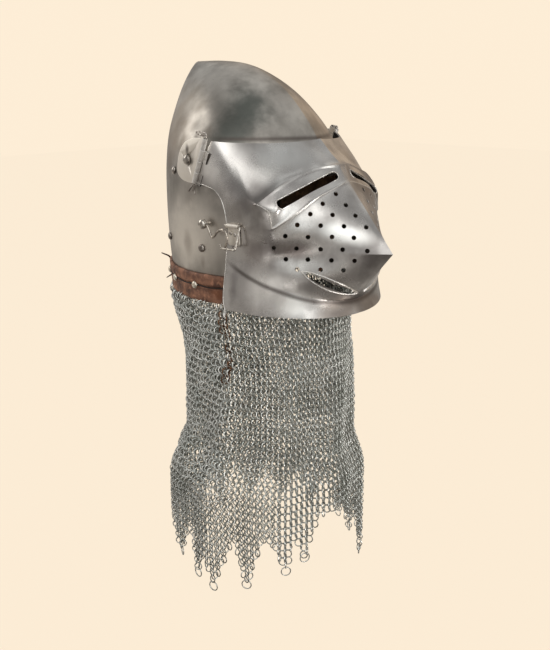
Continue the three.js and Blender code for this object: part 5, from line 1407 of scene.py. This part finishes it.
MAIL_TOP, MAIL_LENGTH = -6.8, 324.0
MAIL_HALF_LENGTH, MAIL_HALF_BREADTH = 117.0, 107.1
MAIL_NARROWING, MAIL_FLARE, MAIL_FORWARD = 7.0, 12.0, 11.0
FOLDS, FOLD_DEPTH = 9, 4.5
RING_RADIUS, RING_WIRE, ROW_PITCH, MAIL_COLUMNS, MAIL_PIECES = 4.6, 0.72, 5.1, 102, 8
RING_SIDES, WIRE_SIDES = 16, 6
# How the rows lean to and fro, and how the top row stands edge on under the band, in degrees.
LEAN_ODD, LEAN_EVEN, LEAN_TOP, RING_TILT = 26, -54, 84, 11
TIP_RADIUS, TIP_SPREAD, TIP_RISE = 5.9, 0.5, 4.5
# The turns and heights of the hem's points and notches: those that are seen, then those at the back.
SEEN_HEM = [(-2.2, -320), (-1.99, -373), (-1.8, -315), (-1.6, -378), (-1.49, -340), (-1.38, -386),
            (-1.15, -311), (-1.02, -374), (-0.81, -296), (-0.61, -350), (-0.51, -301), (-0.39, -338),
            (-0.25, -284), (0.05, -272), (0.24, -303), (0.4, -270)]
chance = np.random.default_rng(14)
hidden_hem = [(turn, -326 if index % 2 else -366 - 14 * chance.random())
              for index, turn in enumerate(np.arange(0.59, 3.95, 0.195))]
HEM = SEEN_HEM + hidden_hem
hem_turns, hem_heights = np.array(HEM).T


def smoothly(value, low, high):
    """A soft step from 0 to 1 while the value goes from low to high."""
    share = np.clip((value - low) / (high - low), 0, 1)
    return share * share * (3 - 2 * share)


def mail_place(angle, z, out=0.0):
    """A place on the hanging curtain, which draws in below the band and flares over the shoulders."""
    low = (MAIL_TOP - z) / MAIL_LENGTH
    on_shoulders = smoothly(low, 0.56, 0.76)
    narrowing = smoothly(low, 0.02, 0.2) * MAIL_NARROWING * (1 - on_shoulders)
    fold = FOLD_DEPTH * np.sin(FOLDS * angle + 2 * low) * smoothly(low, 0.05, 0.6)
    grow = on_shoulders * MAIL_FLARE - narrowing + fold + out
    shift = MAIL_FORWARD * smoothly(low, 0, 0.3) * (1 - 0.7 * smoothly(low, 0.5, 0.8))
    x, y = (MAIL_HALF_LENGTH + grow) * np.cos(angle) + shift, (MAIL_HALF_BREADTH + grow) * np.sin(angle)
    return np.stack([x, y, z + 0 * angle], -1)


def mail_rings():
    """Where each ring sits, its two directions, its size, whether it is rusty, its turn and its row."""
    column_turn = 2 * math.pi / MAIL_COLUMNS
    rows = np.arange(-7, 82)
    row, column = [v.ravel() for v in np.meshgrid(rows, np.arange(MAIL_COLUMNS), indexing="ij")]
    turn = -math.pi + (column + 0.5 * (row % 2)) * column_turn
    wrapped = (turn + 2.2) % (2 * math.pi) - 2.2
    crumple = smoothly(-np.abs(wrapped + 1.75), -0.62, -0.42) * smoothly(-row, -58, -40)
    top = MAIL_TOP - 1.6 + 34 * smoothly(np.cos(turn), 0.83, 0.96)
    z = MAIL_TOP - 1.6 - row * ROW_PITCH
    turn = turn + crumple * 0.03 * np.sin(row * 0.55 + turn * 9)
    z = z + crumple * 1.6 * np.sin(wrapped * 26 + row * 0.35) + 0.8 * np.sin(turn * 14)
    foot = np.interp(wrapped, hem_turns, hem_heights, period=2 * math.pi)
    kept = (z <= top + 1) & (z - RING_RADIUS > foot)
    row, turn, z, crumple, wrapped = (v[kept] for v in (row, turn, z, crumple, wrapped))
    turn = turn + chance.normal(0, 0.0022, len(turn))
    z = z + chance.normal(0, 0.22, len(z))
    step = 0.004
    centre = mail_place(turn, z, chance.normal(0, 0.15, len(z)))
    around = mail_place(turn + step, z) - mail_place(turn - step, z)
    around /= np.linalg.norm(around, axis=1, keepdims=True)
    down = mail_place(turn, z - 1) - mail_place(turn, z + 1)
    down /= np.linalg.norm(down, axis=1, keepdims=True)
    out = np.cross(down, around)
    out *= np.sign(np.sum(out[:, :2] * centre[:, :2], axis=1))[:, None]
    lean = np.where(row % 2, LEAN_ODD, LEAN_EVEN) * (1 - 0.15 * crumple) + chance.normal(0, 4, len(z))
    edge_on = (z > MAIL_TOP - 3) & (np.cos(turn) < 0.8)
    lean = np.radians(np.where(edge_on, LEAN_TOP, lean))
    tilt = np.radians(RING_TILT + chance.normal(0, 3, len(z)))
    first = around * np.cos(lean)[:, None] + out * np.sin(lean)[:, None]
    second = down * np.cos(tilt)[:, None] + out * np.sin(tilt)[:, None]
    second -= first * np.sum(first * second, axis=1)[:, None]
    second /= np.linalg.norm(second, axis=1, keepdims=True)
    # A short line of rusty rings runs down the right side, and each point of the hem ends in one larger ring.
    seam_turn = -1.2 - (MAIL_TOP - z) * 0.0008
    rusty = (np.abs(wrapped - seam_turn) < 0.034) & (z > -104) & (z < -12) & (chance.random(len(z)) < 0.8)
    size = RING_RADIUS * (1 + chance.normal(0, 0.02, len(z)))
    points = [here for before, here, after in zip(HEM, HEM[1:], HEM[2:])
              if here[1] < min(before[1], after[1])]
    tip_turn, tip_z = np.array(points).T
    none = np.zeros(len(points), int)
    centre = np.vstack([centre, mail_place(tip_turn, tip_z + TIP_RISE)])
    first = np.vstack([first, np.stack([-np.sin(tip_turn), np.cos(tip_turn), 0 * tip_turn], -1)])
    second = np.vstack([second, np.tile((0.0, 0.0, -1.0), (len(points), 1))])
    size = np.append(size, TIP_RADIUS + TIP_SPREAD * chance.random(len(points)))
    return (centre, first, second, size, np.append(rusty, none > 0), np.append(wrapped, tip_turn),
            np.append(row, none))


def ring_piece(name, centre, first, second, size):
    """Many separate closed rings in one piece."""
    around = np.arange(RING_SIDES)[None, :, None] / RING_SIDES * 2 * math.pi
    across = np.arange(WIRE_SIDES)[None, None, :, None] / WIRE_SIDES * 2 * math.pi
    third = np.cross(first, second)[:, None, None]
    spoke = (first[:, None] * np.cos(around) + second[:, None] * np.sin(around))[:, :, None]
    reach = size[:, None, None, None] + RING_WIRE * np.cos(across)
    vertices = centre[:, None, None] + spoke * reach + third * (RING_WIRE * np.sin(across))
    r, w = np.meshgrid(np.arange(RING_SIDES), np.arange(WIRE_SIDES), indexing="ij")
    at = lambda a, b: (a % RING_SIDES) * WIRE_SIDES + b % WIRE_SIDES
    quads = np.stack([at(r, w), at(r + 1, w), at(r + 1, w + 1), at(r, w + 1)], -1).reshape(-1, 4)
    faces = (quads[None] + (np.arange(len(centre)) * RING_SIDES * WIRE_SIDES)[:, None, None]).reshape(-1, 4)
    mesh = bpy.data.meshes.new(name)
    mesh.vertices.add(vertices.size // 3)
    mesh.vertices.foreach_set("co", in_frame(vertices.reshape(-1, 3)).ravel())
    mesh.loops.add(faces.size)
    mesh.loops.foreach_set("vertex_index", faces.ravel())
    mesh.polygons.add(len(faces))
    mesh.polygons.foreach_set("loop_start", np.arange(0, faces.size, 4))
    mesh.update(calc_edges=True)
    mesh.shade_smooth()
    piece = bpy.data.objects.new(name, mesh)
    bpy.context.scene.collection.objects.link(piece)
    return piece


def ring_steel(name, light, dark, seed):
    """Mail wire: uneven bright and grey rings, with grime between them and shadow behind the mouth."""
    material = start_material(name)
    broad = noise(26.0, 4.0, seed=seed).between(0.36, 0.64)
    each = noise(120.0, 2.0, seed=seed + 3).between(0.4, 0.6)
    grime = noise(500.0, 2.0, seed=seed + 6).between(0.52, 0.7)
    colour = (broad * 0.6 + each * 0.4).blend(dark, light)
    colour = (grime * 0.5).blend(colour, tuple(c * 0.35 for c in dark))
    colour = (spot((112, -16, 34), (60, 90, 40)) * 0.95).blend(colour, (0.025, 0.022, 0.02))
    return surface(material, bump=grime, bump_strength=0.3, bump_distance=0.0002, Base_Color=colour,
                   Metallic=1.0, Roughness=each.between(0, 1, 0.3, 0.18) + grime * 0.15)


centre, first, second, size, rusty, wrapped, row = mail_rings()
# The rows take lit and shaded copies of one ring steel in turn: painted light and shade that set the rows
# apart.
lit_row_steel = ring_steel("lit_row_ring_steel", (1.0, 1.0, 0.97), (0.72, 0.75, 0.72), seed=3.0)
shaded_row_steel = ring_steel("shaded_row_ring_steel", (0.7, 0.71, 0.68), (0.28, 0.29, 0.26), seed=5.0)
rust_steel = ring_steel("rusty_ring_steel", (0.3, 0.15, 0.08), (0.12, 0.055, 0.03), seed=9.0)
plain = np.flatnonzero(~rusty)
order = plain[np.argsort(wrapped[plain])]
for index, chosen in enumerate(np.array_split(order, MAIL_PIECES)):
    mail = ring_piece(f"mail_{index + 1}", centre[chosen], first[chosen], second[chosen], size[chosen])
    dress(mail, "helmet", lit_row_steel, ["mail_curtain"])
    mail.data.materials.append(shaded_row_steel)
    shaded_rows = np.repeat(row[chosen] % 2, RING_SIDES * WIRE_SIDES).astype(np.int32)
    mail.data.polygons.foreach_set("material_index", shaded_rows)
rust = ring_piece("mail_rusty_rings", centre[rusty], first[rusty], second[rusty], size[rusty])
dress(rust, "helmet", rust_steel)

# Stage and camera

# A plain pale floor and backdrop under soft lamps, seen from the wearer's right front.

CREAM = (0.985, 0.85, 0.676)
FLOOR_HALF, floor_z = 6, cad_box[0][2] - 0.002
floor_corners = [(x * FLOOR_HALF, y * FLOOR_HALF, floor_z) for x, y in ((-1, -1), (1, -1), (1, 1), (-1, 1))]
floor = mesh_piece("floor", floor_corners, [(0, 1, 2, 3)], smooth_angle=0)
pale_floor = start_material("pale_floor")
patches = Field.node("TexNoise", None, {"Vector": place_field(), "Scale": 0.9, "Detail": 2.0})
ragged = (patches - 0.5) * 1.2
near = spot((390 - CROWN_BACK, -550, -389), (1300, 1300, 400), ragged)
ground = (near * 0.85).blend((0.75, 0.72, 0.68), (0.07, 0.055, 0.05))
lit = Field.node("BsdfDiffuse", None, {"Color": ground})
shadowed = Field.node("BsdfDiffuse", None, {"Color": (0.9, 0.78, 0.66, 1)})
glow = Field.node("Emission", None, {"Color": (*CREAM, 1), "Strength": 1.0})
pale = Field.node("MixShader", None, {0: 0.97, 1: shadowed, 2: glow})
# Only the camera sees the pale floor; what the steel reflects is the darker ground.
seen = Field.node("LightPath", out=0)
floor_shader = Field.node("MixShader", None, {0: seen, 1: lit, 2: pale})
Field.node("OutputMaterial", None, {"Surface": floor_shader})
floor.data.materials.append(pale_floor)

world = bpy.data.worlds.new("studio")
bpy.context.scene.world = world
world.use_nodes = True
Field.tree = world.node_tree
Field.tree.nodes.clear()
seen = Field.node("LightPath", out=0)
direction = Field.node("TexCoord", out=0)


def towards(aim, low, high):
    """How nearly a direction of the room points at an aim, as a soft mask."""
    dot = Field.node("VectorMath", {"operation": "DOT_PRODUCT"}, {0: direction, 1: aim}, out=1)
    return dot.between(low, high)


height = Field.node("SeparateXYZ", None, {0: direction}, out=2)
cloth = Field.node("TexNoise", None, {"Vector": direction, "Scale": 2.2, "Detail": 2.0, "Roughness": 0.45})
room = height.between(-0.1, 0.6).blend((0.46, 0.43, 0.4), (0.66, 0.67, 0.66))
room = (towards((0.85, -0.4, 0.35), 0.84, 0.98)).blend(room, (0.95, 0.98, 0.96))
room = (towards((-0.25, -0.66, 0.71), 0.7, 0.95) * 0.9).blend(room, (0.1, 0.1, 0.095))
room = (towards((-0.1, 0.99, 0.05), 0.4, 0.9)).blend(room, (0.6, 0.49, 0.38))
room = (cloth.between(0.44, 0.56, 0.6, 0.0)).blend(room, (0.17, 0.155, 0.15))
tint = seen.blend(room, CREAM)
background = Field.node("Background", None, {"Color": tint, "Strength": 1.0})
Field.node("OutputWorld", None, {"Surface": background})


def lamp(name, place, target, size, power, colour):
    """A soft oblong lamp at a place, turned to a target."""
    data = bpy.data.lights.new(name, "AREA")
    data.shape, data.size, data.size_y = "RECTANGLE", size[0], size[1]
    data.energy, data.color = power, colour
    thing = bpy.data.objects.new(name, data)
    bpy.context.scene.collection.objects.link(thing)
    thing.location = place
    thing.rotation_mode = "QUATERNION"
    thing.rotation_quaternion = (Vector(target) - Vector(place)).to_track_quat("-Z", "Y")


HELMET_MIDDLE, MAIL_MIDDLE, WARM_WHITE = (0.03, 0, -0.12), (0.03, 0, -0.4), (1, 0.98, 0.95)
lamp("key", (0.9, -1.5, 1.3), HELMET_MIDDLE, (1.8, 1.3), 8, WARM_WHITE)
lamp("low", (0.85, -1.25, -0.62), MAIL_MIDDLE, (0.8, 0.22), 1.1, WARM_WHITE)
lamp("side", (1.3, 0.2, -0.5), (0.05, 0, -0.4), (0.5, 0.5), 4, WARM_WHITE)
lamp("rim", (-1.2, -0.9, 0.7), HELMET_MIDDLE, (0.6, 1.2), 5, (1, 0.96, 0.9))
lamp("fill", (1.5, -0.5, 0.4), HELMET_MIDDLE, (0.5, 1.0), 1.5, (1, 0.97, 0.94))

AZIMUTH, ELEVATION, ROLL = math.radians(45.78), math.radians(16.97), math.radians(-0.62)
DISTANCE, AIM_RIGHT, AIM_Z, LENS, SENSOR = 1057.7, 17.03, -61.62, 45.06, 36.0
back = np.array([math.sin(AZIMUTH) * math.cos(ELEVATION), -math.cos(AZIMUTH) * math.cos(ELEVATION),
                 math.sin(ELEVATION)])
right = np.array([math.cos(AZIMUTH), math.sin(AZIMUTH), 0.0])
upward = np.cross(back, right)
aim_point = right * AIM_RIGHT + (0, 0, AIM_Z)
rolled_right = math.cos(ROLL) * right + math.sin(ROLL) * upward
rolled_up = -math.sin(ROLL) * right + math.cos(ROLL) * upward
camera_data = bpy.data.cameras.new("camera")
camera_data.lens, camera_data.sensor_width = LENS, SENSOR
camera_data.clip_start, camera_data.clip_end = 0.05, 50
camera = bpy.data.objects.new("camera", camera_data)
bpy.context.scene.collection.objects.link(camera)
turned = Matrix((rolled_right, rolled_up, back)).transposed().to_4x4()
camera.matrix_world = Matrix.Translation(Vector(in_frame(aim_point + back * DISTANCE))) @ turned
bpy.context.scene.camera = camera
bpy.context.scene.view_settings.view_transform = "Standard"
